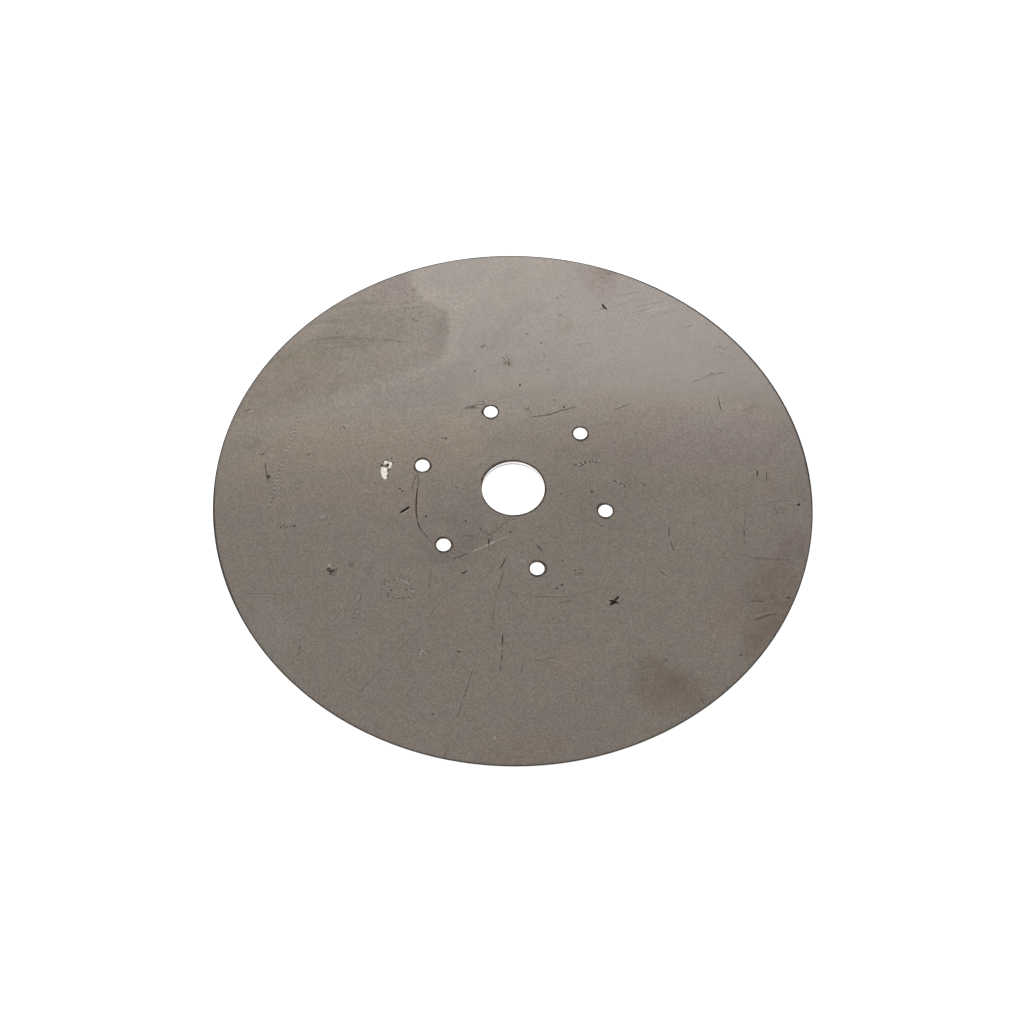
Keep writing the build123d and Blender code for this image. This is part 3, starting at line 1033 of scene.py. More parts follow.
rings = [(rim_points, rim_quads), (bore_points, bore_quads)] + hole_rings
shell_points, shell_triangles = stacked(
    [(with_height(upper, upper_height), upper_triangles), (with_height(lower, 0), lower_triangles)]
    + [(points.reshape(-1, 3), halves(quads)) for points, quads in rings]
)
FACE, BEVEL, WALL = 0, 1, 2
finish_of = [np.full(len(upper_triangles) + len(lower_triangles), FACE)]
for points, quads in rings:
    steps = 2 * points.shape[1]
    first = [BEVEL, WALL] if points is rim_points else [WALL]
    kinds = np.repeat(first, steps)
    finish_of += [kinds, np.full(2 * len(quads) - len(kinds), FACE)]

plate_mesh = bpy.data.meshes.new("blade_plate")
plate_mesh.from_pydata((shell_points * MM).tolist(), [], shell_triangles.tolist())
plate_mesh.polygons.foreach_set("material_index", np.concatenate(finish_of).astype(np.int32))
print("before merging:", len(shell_points), "points,", len(shell_triangles), "triangles")


def keep_on_points(name, values, elsewhere=0.0):
    """Keeps a value per point under a name; the points past the given ones get one same value."""
    full = np.full((len(shell_points),) + values.shape[1:], elsewhere, float)
    full[: len(values)] = values
    kind, field = ("FLOAT", "value") if values.ndim == 1 else ("FLOAT_VECTOR", "vector")
    plate_mesh.attributes.new(name, kind, "POINT").data.foreach_set(field, full.ravel())


keep_on_points("soot", soot)
keep_on_points("lip", lip)
keep_on_points("tint", tint, elsewhere=1.0)
keep_on_points("dull", dull)
keep_on_points("calm", calm)

# %% [markdown]
# Handling rubs a plate's edges and dirt gathers beside them, so the finish
# changes with the distance to the nearest rim. A shader can't measure that,
# but it is a simple formula on the points. How much dirt and painted shade
# lies there is kept too, as one mask: it has one level beside each kind of
# rim, and more or less of it near a few spots.

# %% Distance to the nearest rim, and the dirt and painted shade there
farthest_gap = 25.0
beside_a_rim = 9.0         # points this near to a rim take its level of soil
rim_soil_and_shade, bore_soil_and_shade, hole_soil_and_shade = 0.5, 0.85, 0.8
most_soil_and_shade = 1.6
plan = shell_points[:, :2]
radius = np.hypot(plan[:, 0], plan[:, 1])
to_hole = np.hypot(*np.moveaxis(plan[:, None] - hole_centres, -1, 0)).min(axis=1) - hole_radius
rim_gap = np.clip(disc_radius - radius, 0, farthest_gap)
bore_gap = np.clip(radius - bore_radius, 0, farthest_gap)
hole_gap = np.clip(to_hole, 0, farthest_gap)
keep_on_points("rim_gap", rim_gap)
keep_on_points("bore_gap", bore_gap)
keep_on_points("hole_gap", hole_gap)
print("distances kept up to", farthest_gap, "mm")

near_rim, near_bore = rim_gap < beside_a_rim, bore_gap < beside_a_rim
soil = np.select([near_rim, near_bore], [rim_soil_and_shade, bore_soil_and_shade], hole_soil_and_shade)


def add_soil_and_shade(name, strength, reach, *pixels):
    """More or less dirt and painted shade near some spots: strength (1 - d / reach), with d the distance to
    a spot.
    """
    for spot in face_points(pixels):
        gap = np.hypot(*(plan - spot).T)
        soil[:] += strength * np.clip(1 - gap / reach, 0, 1)
    print(name, "changes the soil by", strength, "within", reach, "mm")


# painted shade: a wider dark line along the left rim
add_soil_and_shade("left_rim", 0.30, 22, (214, 500), (214, 524), (216, 548), (222, 576), (230, 600))
add_soil_and_shade("far_right_rim", 0.30, 34, (648, 284), (690, 308), (726, 334), (757, 364), (782, 400), (798, 436),
       (808, 470))
# painted shade on the bore's wall and beside it at its upper right
add_soil_and_shade("bore_upper_right", 0.40, 18, (488, 472), (500, 464))
add_soil_and_shade("bore_right", 0.25, 20, (546, 508), (520, 516))
add_soil_and_shade("bore_left_clean", -0.65, 6, (481, 486), (481, 494))
add_soil_and_shade("far_hole_edges", 0.75, 5, (599, 505), (605, 518.4), (584.6, 439.4), (580, 440.6), (491.6, 418.4),
       (483.4, 411))
add_soil_and_shade("left_hole_edges", 0.75, 5, (416, 469.6), (429.6, 468), (422, 457.4), (444, 551.6), (440, 536.8),
       (451, 546))
add_soil_and_shade("near_hole_edge", 0.85, 5, (536, 560.4), (536, 575.8), (545, 572), (545.4, 566))
keep_on_points("soil", np.clip(soil, 0, most_soil_and_shade))
print("soil from", soil.min().round(2), "to", soil.max().round(2))

# %% [markdown]
# Merging the points that coincide closes the shell. Normals are recalculated
# after that, since only a closed shell has an outside. The rolled arrises
# shade smoothly, and every corner sharper than twenty degrees stays crisp, so
# a groove keeps its hard shoulders. The step from the flat underside to the
# ground bevel is gentler than that, so it is marked by its place.

# %% Close the shell
shell = bmesh.new()
shell.from_mesh(plate_mesh)
bmesh.ops.remove_doubles(shell, verts=shell.verts, dist=merge_gap * MM)
bmesh.ops.recalc_face_normals(shell, faces=shell.faces)
print("open or odd edges:", sum(not edge.is_manifold for edge in shell.edges))
print("volume", round(shell.calc_volume() / MM**3), "cubic mm")
shell.to_mesh(plate_mesh)
shell.free()

plate_mesh.shade_smooth()
plate_mesh.set_sharp_from_angle(angle=crisp_angle)


def read_points(collection, field, width, kind=float):
    """One field of a mesh's points, edges or faces as an array."""
    values = np.empty(len(collection) * width, kind)
    collection.foreach_get(field, values)
    return values.reshape(-1, width) if width > 1 else values


merged = read_points(plate_mesh.vertices, "co", 3) / MM
merged_radius = np.hypot(merged[:, 0], merged[:, 1])
at_root = (merged[:, 2] < on_plane) & (np.abs(merged_radius - bevel_root_radius) < on_plane)
edge_ends = read_points(plate_mesh.edges, "vertices", 2, np.int32)
crisp = plate_mesh.attributes["sharp_edge"].data
marked = read_points(crisp, "value", 1, bool) | at_root[edge_ends].all(axis=1)
crisp.foreach_set("value", marked)
print("crisp edges:", int(marked.sum()))

# %% [markdown]
# A program that can't run node trees shows a picture of the finish instead,
# laid over the mesh by a UV map. The face with the marks is to be sharpest in
# that picture, so it fills nearly the whole map as one flat disc. The corners
# that the disc leaves free hold the rest: the plain underside as a small disc,
# and every wall as a ring, with its foot on the inside and its top outside.

# %% Lay out the UV map
map_margin = 0.008
face_in_map = 0.5 - map_margin
corner_in_map = (math.sqrt(0.5) - face_in_map - map_margin) / (1 + math.sqrt(2)) - map_margin
corner_middle = corner_in_map + 1.5 * map_margin
rim_ring = (0.6, 1.0)      # radius of a wall's foot and of its top, as shares of a corner's disc
bore_ring = (0.2, 0.5)
hole_ring = (0.12, 0.38)
hole_ring_reach = 0.55     # from a corner's middle to the middle of a hole's ring
wall_margin = 1.0          # how far from a wall's own radius its triangles may lie


def flat_in_map(points, middle, size):
    """UVs of points seen from straight above: middle + size (x, y) / disc radius."""
    return np.array(middle) + size * points[..., :2] / disc_radius


def ring_in_map(points, axis, middle, ring):
    """UVs of a wall: middle + the direction from its axis, times a radius that grows with height."""
    out = points[..., :2] - axis
    out /= np.hypot(out[..., 0], out[..., 1])[..., None]
    foot, top = corner_in_map * np.array(ring)
    reach = foot + (top - foot) * points[..., 2:] / sheet_thickness
    return np.array(middle) + reach * out


corners = merged[read_points(plate_mesh.loops, "vertex_index", 1, np.int32)].reshape(-1, 3, 3)
middles = corners.mean(axis=1)
kind = read_points(plate_mesh.polygons, "material_index", 1, np.int32)
from_centre = np.hypot(middles[:, 0], middles[:, 1])
upward = (kind == FACE) & (middles[:, 2] > sheet_thickness / 2)

near, far = corner_middle, 1 - corner_middle
uv = flat_in_map(corners, (near, near), corner_in_map)
uv[upward] = flat_in_map(corners[upward], (0.5, 0.5), face_in_map)
rim_wall = (kind == WALL) & (from_centre > disc_radius - wall_margin)
uv[rim_wall] = ring_in_map(corners[rim_wall], (0, 0), (far, near), rim_ring)
bore_wall = (kind == WALL) & (from_centre < bore_radius + wall_margin)
uv[bore_wall] = ring_in_map(corners[bore_wall], (0, 0), (far, near), bore_ring)
hole_corners = np.array([(near, far), (far, far)])   # three of the holes share each of these
for i, centre in enumerate(hole_centres):
    from_hole = np.hypot(*(middles[:, :2] - centre).T)
    hole_wall = (kind == WALL) & (from_hole < hole_radius + wall_margin)
    turn = 2 * math.pi * (i // 2) / 3
    spoke = hole_ring_reach * corner_in_map * np.array([math.cos(turn), math.sin(turn)])
    uv[hole_wall] = ring_in_map(corners[hole_wall], centre, hole_corners[i % 2] + spoke, hole_ring)
plate_mesh.uv_layers.new(name="OFBake").uv.foreach_set("vector", uv.ravel())
print("map from", uv.min().round(3), "to", uv.max().round(3))
print("radius of a corner's disc:", round(corner_in_map, 3))

# %% [markdown]
# The mesh becomes a piece of the scene. It rides on the one body that the
# blade has, and it stands for the solid wherever the blade is shown.

# %% Name the plate and let it stand for the solid
plate = bpy.data.objects.new("blade_plate", plate_mesh)
bpy.context.scene.collection.objects.link(plate)
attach(plate, "root")
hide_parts("disc_blade")
print("blade_plate:", len(plate_mesh.polygons), "triangles")

# %% [markdown]
# ## The fleck of paint
#
# A crumb of cream paint sticks to the face near one bolt hole. It is three
# thick lumps, so it is modelled: each is a dome over a wobbly outline, with
# rings that shrink towards the middle while they rise.

# %% Domes over an outline
fleck_rings = 9
fleck_corners = 48
fleck_seat = 0.02          # how far the paint's edge sinks below the steel's face
fleck_unevenness = 0.35    # of the lumps' height


def paint_lump(thickness, *pixels):
    """A closed dome: ring k is the outline times s about its middle, at height t (1 - s^4)^0.5."""
    corners = face_points(pixels)
    middle = corners.mean(axis=0)
    around = np.vstack([corners, corners[:1]])
    run = np.concatenate([[0], np.cumsum(np.hypot(*np.diff(around, axis=0).T))])
    even = run[-1] * np.arange(fleck_corners) / fleck_corners
    outline = np.column_stack([np.interp(even, run, around[:, k]) for k in (0, 1)])
    smoothed = (np.roll(outline, 1, axis=0) + outline + np.roll(outline, -1, axis=0)) / 3
    share = np.linspace(1, 1 / fleck_rings, fleck_rings)
    flat = middle + share[:, None, None] * (smoothed - middle)
    chance = np.random.default_rng(len(pixels))
    uneven = 1 + fleck_unevenness * (chance.random((fleck_rings, fleck_corners)) - 0.5)
    lift = thickness * np.sqrt(1 - share**4)[:, None] * uneven
    points = np.concatenate([flat, (sheet_thickness + lift - fleck_seat)[..., None]], axis=-1)
    index = np.arange(fleck_rings * fleck_corners).reshape(fleck_rings, fleck_corners)
    ahead = np.roll(index, -1, axis=1)
    quads = np.stack([index[:-1], ahead[:-1], ahead[1:], index[1:]], axis=-1).reshape(-1, 4)
    top, bottom = index.size, index.size + 1
    cap = np.column_stack([index[-1], ahead[-1], np.full(fleck_corners, top)])
    base = np.column_stack([ahead[0], index[0], np.full(fleck_corners, bottom)])
    low, high = sheet_thickness - fleck_seat, sheet_thickness + thickness - fleck_seat
    centres = [[*middle, high], [*middle, low]]
    return np.vstack([points.reshape(-1, 3), centres]), np.vstack([halves(quads), cap, base])


print("each lump has", fleck_rings, "rings of", fleck_corners, "corners")

# %% [markdown]
# The three lumps overlap a little, as one splash that has cracked. Their
# normals are recalculated, so that every closed dome faces outwards.

# %% Three lumps of paint
lumps = [
    paint_lump(0.30, (382, 466.6), (384, 467.6), (385.5, 466.8), (387.2, 468.2), (387.4, 470),
               (386.8, 471.5), (388, 473), (387.4, 474.8), (386.4, 475.6), (387, 477), (386.6, 478.8),
               (385.4, 479.8), (383.6, 479), (381.8, 476.4), (381.2, 474), (380.6, 471.5),
               (380.8, 468.6)),
    paint_lump(0.22, (383.4, 464.3), (383.9, 462.6), (384.8, 460.8), (386.4, 460.9), (388.2, 461),
               (389, 462.4), (388.2, 463.4), (386.9, 463.6), (386.6, 464.6), (385, 464.7)),
    paint_lump(0.25, (389.6, 461.6), (390.6, 462), (391.6, 462.4), (392.2, 464), (391.8, 466),
               (390.6, 467.8), (389, 468.9), (387.8, 468.4), (388.6, 467.2), (389.4, 466), (389.2, 464.4),
               (388.9, 463)),
]
fleck_points, fleck_triangles = stacked(lumps)
fleck_mesh = bpy.data.meshes.new("paint_fleck")
fleck_mesh.from_pydata((fleck_points * MM).tolist(), [], fleck_triangles.tolist())
fleck_shell = bmesh.new()
fleck_shell.from_mesh(fleck_mesh)
bmesh.ops.recalc_face_normals(fleck_shell, faces=fleck_shell.faces)
fleck_shell.to_mesh(fleck_mesh)
fleck_shell.free()
fleck_mesh.shade_smooth()
fleck = bpy.data.objects.new("paint_fleck", fleck_mesh)
bpy.context.scene.collection.objects.link(fleck)
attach(fleck, "root")
print("paint_fleck:", len(fleck_triangles), "triangles")

# %% [markdown]
# ## Shader helpers
#
# A finish is a tree of nodes. Small helpers keep such a tree readable: one
# adds a node with its inputs, one does arithmetic, one remaps a value, one
# mixes two colours and one makes noise of a given size. Each takes plain
# values or another node's output.

# %% Nodes, arithmetic, mixing and noise
def plug(tree, socket, value):
    """Sets an input to a value, or links another node's output into it."""
    if isinstance(value, bpy.types.NodeSocket):
        tree.links.new(value, socket)
    else:
        socket.default_value = value


def add_node(tree, kind, inputs=None, **settings):
    """A new node of the tree, with its own settings and its inputs by name."""
    made = tree.nodes.new("ShaderNode" + kind)
    for name, value in settings.items():
        setattr(made, name, value)
    for name, value in (inputs or {}).items():
        plug(tree, made.inputs[name], value)
    return made


def calc(tree, operation, *values):
    """The result of one Math node."""
    made = add_node(tree, "Math", operation=operation)
    for socket, value in zip(made.inputs, values):
        plug(tree, socket, value)
    return made.outputs[0]


def between(tree, value, low, high, at_low=0.0, at_high=1.0):
    """value eased from at_low, where it is low or less, to at_high, where it is high or more."""
    inputs = {"Value": value, "From Min": low, "From Max": high, "To Min": at_low, "To Max": at_high}
    return add_node(tree, "MapRange", inputs, interpolation_type="SMOOTHSTEP").outputs[0]


def mixed(tree, factor, under, over, how="MIX"):
    """Two colours mixed by a factor, which may go past one."""
    made = add_node(tree, "Mix", data_type="RGBA", blend_type=how, clamp_factor=False)
    for index, value in ((0, factor), (6, under), (7, over)):
        plug(tree, made.inputs[index], value)
    return made.outputs[2]


def noise(tree, at, size, detail=2.0, roughness=0.5, stretch=(1, 1, 1), spin=0.0):
    """Fractal noise whose features are about size millimetres wide, stretched and turned if asked."""
    place = {"Vector": at, "Scale": stretch, "Rotation": (0, 0, spin)}
    turned_at = add_node(tree, "Mapping", place).outputs[0]
    settings = {"Vector": turned_at, "Scale": 1 / (size * MM), "Detail": detail, "Roughness": roughness}
    return add_node(tree, "TexNoise", settings).outputs[0]


print("node helpers ready")

# %% [markdown]
# An effect that several materials use is a node group, made once. These
# helpers start a group or a material, put a group to use, and read a value
# that the mesh keeps on its points.

# %% Groups, materials and values on the mesh
def new_group(name, inputs, outputs):
    """An empty node group with float or colour sockets; a tuple as default makes a colour."""
    group = bpy.data.node_groups.new(name, "ShaderNodeTree")
    for socket_name, default in inputs.items():
        kind = "NodeSocketColor" if isinstance(default, tuple) else "NodeSocketFloat"
        socket = group.interface.new_socket(socket_name, in_out="INPUT", socket_type=kind)
        socket.default_value = default
    for socket_name, kind in outputs.items():
        group.interface.new_socket(socket_name, in_out="OUTPUT", socket_type=kind)
    return group, group.nodes.new("NodeGroupInput").outputs, group.nodes.new("NodeGroupOutput")


def new_material(name, roughness, metallic):
    """A material, its tree and the inputs of its Principled shader."""
    material = bpy.data.materials.new(name)
    material.use_nodes = True
    shader = material.node_tree.nodes["Principled BSDF"]
    shader.inputs["Roughness"].default_value = roughness
    shader.inputs["Metallic"].default_value = metallic
    return material, material.node_tree, shader.inputs


def use_group(tree, group, **inputs):
    """A group placed in a tree, with its inputs by name."""
    made = add_node(tree, "Group", node_tree=group)
    for name, value in inputs.items():
        plug(tree, made.inputs[name], value)
    return made.outputs


def scaled_colour(tree, colour, factor):
    """A colour times one value."""
    made = add_node(tree, "VectorMath", operation="SCALE")
    plug(tree, made.inputs[0], colour[:3] if isinstance(colour, tuple) else colour)
    plug(tree, made.inputs["Scale"], factor)
    return made.outputs[0]


def on_points(tree, name, output="Fac"):
    """A value that the mesh keeps on its points."""
    return add_node(tree, "Attribute", attribute_type="GEOMETRY", attribute_name=name).outputs[output]


print("material helpers ready")

# %% [markdown]
# ## Grain of rolled steel
#
# Hardened sheet isn't one grey. Close up it is a fine salt and pepper of
# brighter and duller spots, little more than half a millimetre wide, and
# those lie in clouds of browner and bluer steel. The group gives a tone to
# multiply by, and a hue that runs from 0, cool, to 1, warm.

# %% A node group for the grain
grain, grain_in, grain_out = new_group(
    "steel_grain",
    {"Mottle": 0.1, "Clouds": 0.1},
    {"Tone": "NodeSocketFloat", "Hue": "NodeSocketFloat"},
)
grain_place = add_node(grain, "TexCoord").outputs["Object"]
grain_size, cloud_size, hue_size = 0.62, 9.0, 13.0
crystals = add_node(grain, "TexVoronoi", {"Vector": grain_place, "Scale": 1 / (grain_size * MM)})
crystal_tone = add_node(grain, "SeparateColor", {"Color": crystals.outputs["Color"]}).outputs["Red"]
salt = calc(grain, "SUBTRACT", crystal_tone, 0.5)
clouds = noise(grain, grain_place, cloud_size, detail=3.0, roughness=0.6)
cloud = calc(grain, "SUBTRACT", clouds, 0.5)
salt_part = calc(grain, "MULTIPLY", salt, grain_in["Mottle"])
cloud_part = calc(grain, "MULTIPLY", cloud, grain_in["Clouds"])
plug(grain, grain_out.inputs["Tone"], calc(grain, "ADD", 1.0, calc(grain, "ADD", salt_part, cloud_part)))
hues = noise(grain, grain_place, hue_size, detail=3.0, roughness=0.6)
plug(grain, grain_out.inputs["Hue"], between(grain, hues, 0.35, 0.65))
print("group:", grain.name)

# %% [markdown]
# ## Fine handling scratches
#
# Between the deep cuts the face has a web of faint hairlines. They are too
# fine for geometry. The group stretches noise along a few directions and
# keeps only its thin crests, which leaves short straight threads.

# %% A node group for hairlines
hairs, hairs_in, hairs_out = new_group(
    "hair_scratches",
    {"Amount": 1.0},
    {"Mask": "NodeSocketFloat"},
)
hair_place = add_node(hairs, "TexCoord").outputs["Object"]
hair_length, hair_width = 26.0, 0.55
hair_turns = (0.35, 1.2, 2.05, 2.7)
drawn_out = (1, hair_width / hair_length, 1)
threads = None
for turn in hair_turns:
    crest = noise(hairs, hair_place, hair_width, detail=0.0, stretch=drawn_out, spin=turn)
    where = between(hairs, noise(hairs, hair_place, 30.0 + 9 * turn, detail=1.0), 0.52, 0.62)
    thread = calc(hairs, "MULTIPLY", between(hairs, crest, 0.74, 0.8), where)
    threads = thread if threads is None else calc(hairs, "MAXIMUM", threads, thread)
plug(hairs, hairs_out.inputs["Mask"], calc(hairs, "MULTIPLY", threads, hairs_in["Amount"]))
print("group:", hairs.name)

# %% [markdown]
# ## Dirt and painted shade along the edges
#
# A thin dark line of oil, scale and painted shade sits beside every arris,
# broken here and there, and the last few millimetres before the rim are a
# little bluer and darker. The group turns a distance in millimetres into those
# two masks.

# %% A node group for edge dirt and painted shade
edges, edges_in, edges_out = new_group(
    "edge_dirt",
    {"Gap": 25.0, "Line": 0.8, "Band": 3.0, "Broken": 0.5},
    {"Line": "NodeSocketFloat", "Band": "NodeSocketFloat"},
)
edge_place = add_node(edges, "TexCoord").outputs["Object"]
break_size, wander_size = 2.2, 7.0
breaks = between(edges, noise(edges, edge_place, break_size, roughness=0.6), 0.38, 0.6)
kept = calc(edges, "SUBTRACT", 1.0, calc(edges, "MULTIPLY", edges_in["Broken"], breaks))
half_line = calc(edges, "MULTIPLY", edges_in["Line"], 0.5)
line = between(edges, edges_in["Gap"], half_line, edges_in["Line"], 1.0, 0.0)
plug(edges, edges_out.inputs["Line"], calc(edges, "MULTIPLY", line, kept))
wander = calc(edges, "ADD", 0.5, noise(edges, edge_place, wander_size, roughness=0.6))
reach = calc(edges, "MULTIPLY", edges_in["Band"], wander)
plug(edges, edges_out.inputs["Band"], between(edges, edges_in["Gap"], 0.3, reach, 1.0, 0.0))
print("group:", edges.name)

# %% [markdown]
# ## The steel of the face
#
# The steel is metallic, so its colour is the tint of what it reflects. Under
# a white studio it renders as it is written here: a warm grey brown. Grain,
# stains, painted reflections and hairlines only change that tint, so they are
# laid over it one by one.

# %% Tint of the flat faces
WARM_STEEL = (0.1985, 0.1695, 0.1440, 1)
COOL_STEEL = (0.1955, 0.1685, 0.1450, 1)
SOOT = (0.010, 0.008, 0.0065, 1)
WHITE = (1, 1, 1, 1)
face_roughness = 0.155
most_mottle = 0.39         # of the grain, where no film calms it
patch_break_size = 5.0

face_steel, tree, surface = new_material("face_steel", face_roughness, 1.0)
at = add_node(tree, "TexCoord").outputs["Object"]
mottle = between(tree, on_points(tree, "calm"), 0.0, 1.0, most_mottle, 0.0)
spots = use_group(tree, grain, Mottle=mottle, Clouds=0.13)
hue = mixed(tree, spots["Hue"], COOL_STEEL, WARM_STEEL)
colour = scaled_colour(tree, hue, spots["Tone"])

patch_breaks = noise(tree, at, patch_break_size, detail=3.0, roughness=0.65)
uneven = between(tree, patch_breaks, 0.3, 0.7, 0.8, 1.2)
# the patch tints: stains, heat tints and painted reflection on the far half
patch_tint = mixed(tree, uneven, WHITE, on_points(tree, "tint", "Color"))
colour = mixed(tree, 1.0, colour, patch_tint, "MULTIPLY")

threads = use_group(tree, hairs, Amount=0.05)["Mask"]
colour = mixed(tree, threads, colour, SOOT)
plate_mesh.materials.append(face_steel)
print("material:", face_steel.name)

# %% [markdown]
# Each kind of rim has a dark line of dirt and painted shade of its own width,
# and the line is wider where more of that mask lies. The blade's outer rim
# also has the bluer band.

# %% Dirt and painted shade beside the rims of the face
RIM_BAND = (0.84, 0.88, 0.93, 1)
line_widths = (1.8, 1.6, 1.7)   # at the rim, the bore and a bolt hole, for a soil of 1
band_strength = 0.8

soil = on_points(tree, "soil")
rim_line, bore_line, hole_line = (calc(tree, "MULTIPLY", soil, width) for width in line_widths)
# dark lines of dirt and painted shade beside the rim, the bore and the bolt holes
rim_dirt_and_shade = use_group(tree, edges, Gap=on_points(tree, "rim_gap"), Line=rim_line, Band=3.2, Broken=0.2)
bore_dirt_and_shade = use_group(tree, edges, Gap=on_points(tree, "bore_gap"), Line=bore_line, Band=1.6, Broken=0.35)
hole_dirt_and_shade = use_group(tree, edges, Gap=on_points(tree, "hole_gap"), Line=hole_line, Band=2.4, Broken=0.35)
colour = mixed(tree, calc(tree, "MULTIPLY", rim_dirt_and_shade["Band"], band_strength), colour,
               mixed(tree, 1.0, colour, RIM_BAND, "MULTIPLY"))
inner_line = calc(tree, "MAXIMUM", bore_dirt_and_shade["Line"], hole_dirt_and_shade["Line"])
dirt_and_shade_line = calc(tree, "MAXIMUM", rim_dirt_and_shade["Line"], inner_line)
print("lines of dirt", line_widths, "mm wide")

# %% [markdown]
# Soot and the dark line of dirt and painted shade are matt and black even when
# they are seen at a glancing angle, so the surface stops being metallic where
# they lie. A lip that is rubbed bright is the opposite, nearly white metal.
# Roughness follows last: the steel's own, more of it where a patch has dulled
# it, and matt where it is dark.

# %% Soot, bright lips and roughness of the face
# EDGE_LINE is the dark line of dirt and painted shade beside the arrises
EDGE_LINE = (0.030, 0.023, 0.019, 1)
BRIGHT_STEEL = (0.62, 0.60, 0.57, 1)
flake_size = 1.1
soot_roughness = 0.9
film_roughness = 0.12      # what the dullest film adds
line_strength = 0.9

flaky = between(tree, noise(tree, at, flake_size, roughness=0.6), 0.45, 0.7, 1.0, 0.85)
in_groove = calc(tree, "MULTIPLY", on_points(tree, "soot"), flaky)
colour = mixed(tree, on_points(tree, "lip"), colour, BRIGHT_STEEL)
colour = mixed(tree, in_groove, colour, SOOT)
colour = mixed(tree, calc(tree, "MULTIPLY", dirt_and_shade_line, line_strength), colour, EDGE_LINE)
dark = calc(tree, "MAXIMUM", in_groove, dirt_and_shade_line)
plug(tree, surface["Base Color"], colour)
plug(tree, surface["Metallic"], calc(tree, "SUBTRACT", 1.0, dark))
surface["Specular IOR Level"].default_value = 0.0
sooty = between(tree, dark, 0.5, 1.0, face_roughness, soot_roughness)
filmy = calc(tree, "MULTIPLY", on_points(tree, "dull"), film_roughness)
plug(tree, surface["Roughness"], calc(tree, "ADD", sooty, filmy))
print("roughness from", face_roughness, "to", soot_roughness)

# %% [markdown]
# ## The ground bevel
#
# Grinding leaves fine rings, so the bevel's tone follows the distance from
# the axis: the noise is read along that one number, which makes it the same
# all the way round.

# %% Material of the bevel
GROUND_STEEL = (0.42, 0.40, 0.37, 1)
ground_bevel, tree, surface = new_material("ground_bevel", 0.27, 1.0)
at = add_node(tree, "TexCoord").outputs["Object"]
apart = add_node(tree, "SeparateXYZ", {"Vector": at}).outputs
x_squared, y_squared = (calc(tree, "MULTIPLY", apart[axis], apart[axis]) for axis in "XY")
from_axis = calc(tree, "SQRT", calc(tree, "ADD", x_squared, y_squared))
ring_width = 0.35
ring_place = add_node(tree, "CombineXYZ", {"X": from_axis}).outputs[0]
ground_rings = noise(tree, ring_place, ring_width, detail=3.0, roughness=0.7)
rings_tone = between(tree, ground_rings, 0.3, 0.7, 0.82, 1.14)
spots = use_group(tree, grain, Mottle=0.08, Clouds=0.12)
plug(tree, surface["Base Color"],
     scaled_colour(tree, scaled_colour(tree, GROUND_STEEL, rings_tone), spots["Tone"]))
plug(tree, surface["Roughness"], between(tree, rings_tone, 0.8, 1.15, 0.34, 0.22))
plate_mesh.materials.append(ground_bevel)
print("material:", ground_bevel.name)

# %% [markdown]
# ## The punched walls
#
# A punch leaves bright steel with faint upright scoring, which is noise drawn
# out along Z. The bore's wall is greyer with oil and painted shade, most of
# all along its foot, where it meets the floor, and the rim's own narrow wall
# has gone dull. One material does for all three, since the distances kept on
# the mesh tell it which wall it is on.

# %% Material of the walls
PUNCHED_STEEL = (0.96, 0.93, 0.91, 1)
BORE_STEEL = (0.78, 0.75, 0.73, 1)
# oil and painted contact shade low on the bore's wall
OIL_AND_SHADE_FOOT = (0.31, 0.29, 0.28, 1)
RIM_STEEL = (0.55, 0.52, 0.49, 1)
# the band of oil and painted shade at the bore wall's foot
foot_heights = (0.9, 1.5)  # millimetres: all of the foot's oil is below the first, none above the second

punched_wall, tree, surface = new_material("punched_wall", 0.4, 1.0)
at = add_node(tree, "TexCoord").outputs["Object"]
score_width, score_stretch = 0.5, (1, 1, 0.06)
scores = noise(tree, at, score_width, roughness=0.6, stretch=score_stretch)
scoring = between(tree, scores, 0.3, 0.7, 0.93, 1.05)
wall_height = calc(tree, "DIVIDE", add_node(tree, "SeparateXYZ", {"Vector": at}).outputs["Z"], MM)
at_bore = between(tree, on_points(tree, "bore_gap"), 0.5, 1.0, 1.0, 0.0)
oil_and_shade = calc(tree, "MULTIPLY", at_bore, between(tree, on_points(tree, "soil"), 0.6, 1.2, 0.5, 1.0))
# oil and painted contact shade along the foot, where the bore's wall meets the floor
foot = calc(tree, "MULTIPLY", oil_and_shade, between(tree, wall_height, *foot_heights, 1.0, 0.0))
at_rim = between(tree, on_points(tree, "rim_gap"), 0.5, 1.0, 1.0, 0.0)
bare = mixed(tree, at_rim, mixed(tree, oil_and_shade, PUNCHED_STEEL, BORE_STEEL), RIM_STEEL)
walls = scaled_colour(tree, mixed(tree, foot, bare, OIL_AND_SHADE_FOOT), scoring)
plug(tree, surface["Base Color"], walls)
plug(tree, surface["Roughness"], between(tree, scoring, 0.9, 1.05, 0.5, 0.35))
plate_mesh.materials.append(punched_wall)
print("material:", punched_wall.name)

# %% [markdown]
# ## The old paint
#
# The paint is the one finish here that isn't metal. It is cream and dry, with
# grey dirt worn into it in spots, so noise mixes two colours, and the same
# noise makes the dirty spots rougher.

# %% Material of the paint
CREAM = (0.88, 0.81, 0.74, 1)
GREY_CREAM = (0.55, 0.49, 0.43, 1)
old_paint, tree, surface = new_material("old_paint", 0.55, 0.0)
at = add_node(tree, "TexCoord").outputs["Object"]
dirt_size = 1.4
dirty = between(tree, noise(tree, at, dirt_size, detail=3.0, roughness=0.6), 0.45, 0.72)
plug(tree, surface["Base Color"], mixed(tree, dirty, CREAM, GREY_CREAM))
plug(tree, surface["Roughness"], between(tree, dirty, 0.0, 1.0, 0.45, 0.8))
fleck_mesh.materials.append(old_paint)
print("material:", old_paint.name)

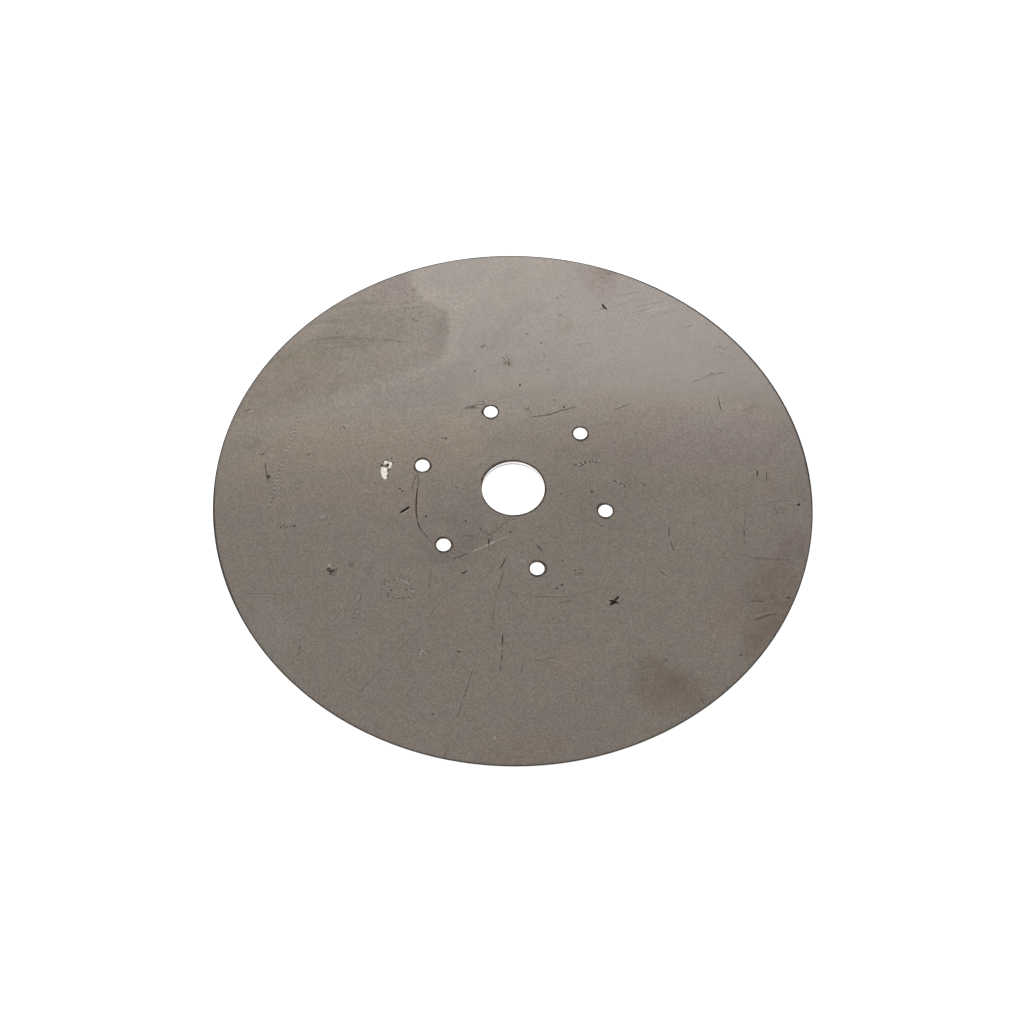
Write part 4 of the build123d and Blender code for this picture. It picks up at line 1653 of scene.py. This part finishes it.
# %% [markdown]
# ## The studio
#
# A pale floor and a white surround. Diffuse surfaces get a plain soft light,
# while the camera, reflections and anything seen through a hole see white.

# %% Floor and surround
FLOOR_GREY = (0.8, 0.8, 0.8, 1)
floor_size = 6.0
floor_drop = 0.02 * MM     # keeps the floor clear of the underside's own plane
floor_glow = 0.6           # added where the floor is seen directly, so that it looks white
surround_strength = 0.75   # for diffuse surfaces, while what is seen directly has a strength of 1


def flat_sheet(name, corners):
    """One four-cornered face through the given corners."""
    mesh = bpy.data.meshes.new(name)
    mesh.from_pydata(corners, [], [range(len(corners))])
    made = bpy.data.objects.new(name, mesh)
    bpy.context.scene.collection.objects.link(made)
    return made


def seen_directly(tree):
    """1 for rays from the camera, from a reflection or through something, 0 for diffuse light."""
    rays = add_node(tree, "LightPath").outputs
    not_through = calc(tree, "MAXIMUM", rays["Is Camera Ray"], rays["Is Glossy Ray"])
    return calc(tree, "MAXIMUM", not_through, rays["Is Transmission Ray"])


half = floor_size / 2
floor = flat_sheet("studio_floor", [
    (-half, -half, -floor_drop), (half, -half, -floor_drop),
    (half, half, -floor_drop), (-half, half, -floor_drop),
])
floor_paint, tree, surface = new_material("floor_paint", 0.9, 0.0)
surface["Base Color"].default_value = FLOOR_GREY
surface["Specular IOR Level"].default_value = 0.0
surface["Emission Color"].default_value = WHITE
plug(tree, surface["Emission Strength"], calc(tree, "MULTIPLY", seen_directly(tree), floor_glow))
floor.data.materials.append(floor_paint)

world = bpy.data.worlds.new("studio_surround")
world.use_nodes = True
bpy.context.scene.world = world
tree = world.node_tree
background = tree.nodes["Background"].inputs
background["Color"].default_value = WHITE
brighter = calc(tree, "MULTIPLY", seen_directly(tree), 1 - surround_strength)
plug(tree, background["Strength"], calc(tree, "ADD", surround_strength, brighter))
print("floor and surround ready")

# %% [markdown]
# The light is one wide window behind the blade, about halfway up, which the
# steel mirrors towards the camera, and a small soft key from the front left.
# A lamp's watts say little about how bright it looks, so each is given the
# radiance that its mirror image shows, and the watts follow from its area.

# %% Two soft lamps
def soft_lamp(name, direction, distance, width, height, radiance, colour):
    """A rectangular lamp that faces the blade; one of W watts and area A shows a radiance of W / (4 A)."""
    data = bpy.data.lights.new(name, "AREA")
    data.shape, data.size, data.size_y = "RECTANGLE", width, height
    data.energy, data.color = 4 * radiance * width * height, colour
    lamp = bpy.data.objects.new(name, data)
    bpy.context.scene.collection.objects.link(lamp)
    away = Vector(direction).normalized()
    facing = away.to_track_quat("Z", "Y").to_matrix().to_4x4()
    lamp.matrix_world = Matrix.Translation(away * distance) @ facing
    print(name, round(data.energy), "W")


window_distance = 6.0
window_low, window_high = math.radians(36), math.radians(54.8)
window_middle = (window_low + window_high) / 2
window_height = 2 * window_distance * math.tan((window_high - window_low) / 2)
window_width = 7.0
towards_window = turned((0, math.cos(window_middle), math.sin(window_middle)), camera_azimuth)
soft_lamp("far_window", towards_window, window_distance, window_width, window_height,
          radiance=0.97, colour=(0.945, 1.0, 1.06))
key_distance, key_size = 3.0, 1.8
towards_key = turned((-0.55, -0.6, 1.0), camera_azimuth)
soft_lamp("soft_key", towards_key, key_distance, key_size, key_size, radiance=1.5, colour=(1, 1, 1))

bpy.context.scene.view_settings.view_transform = "Standard"
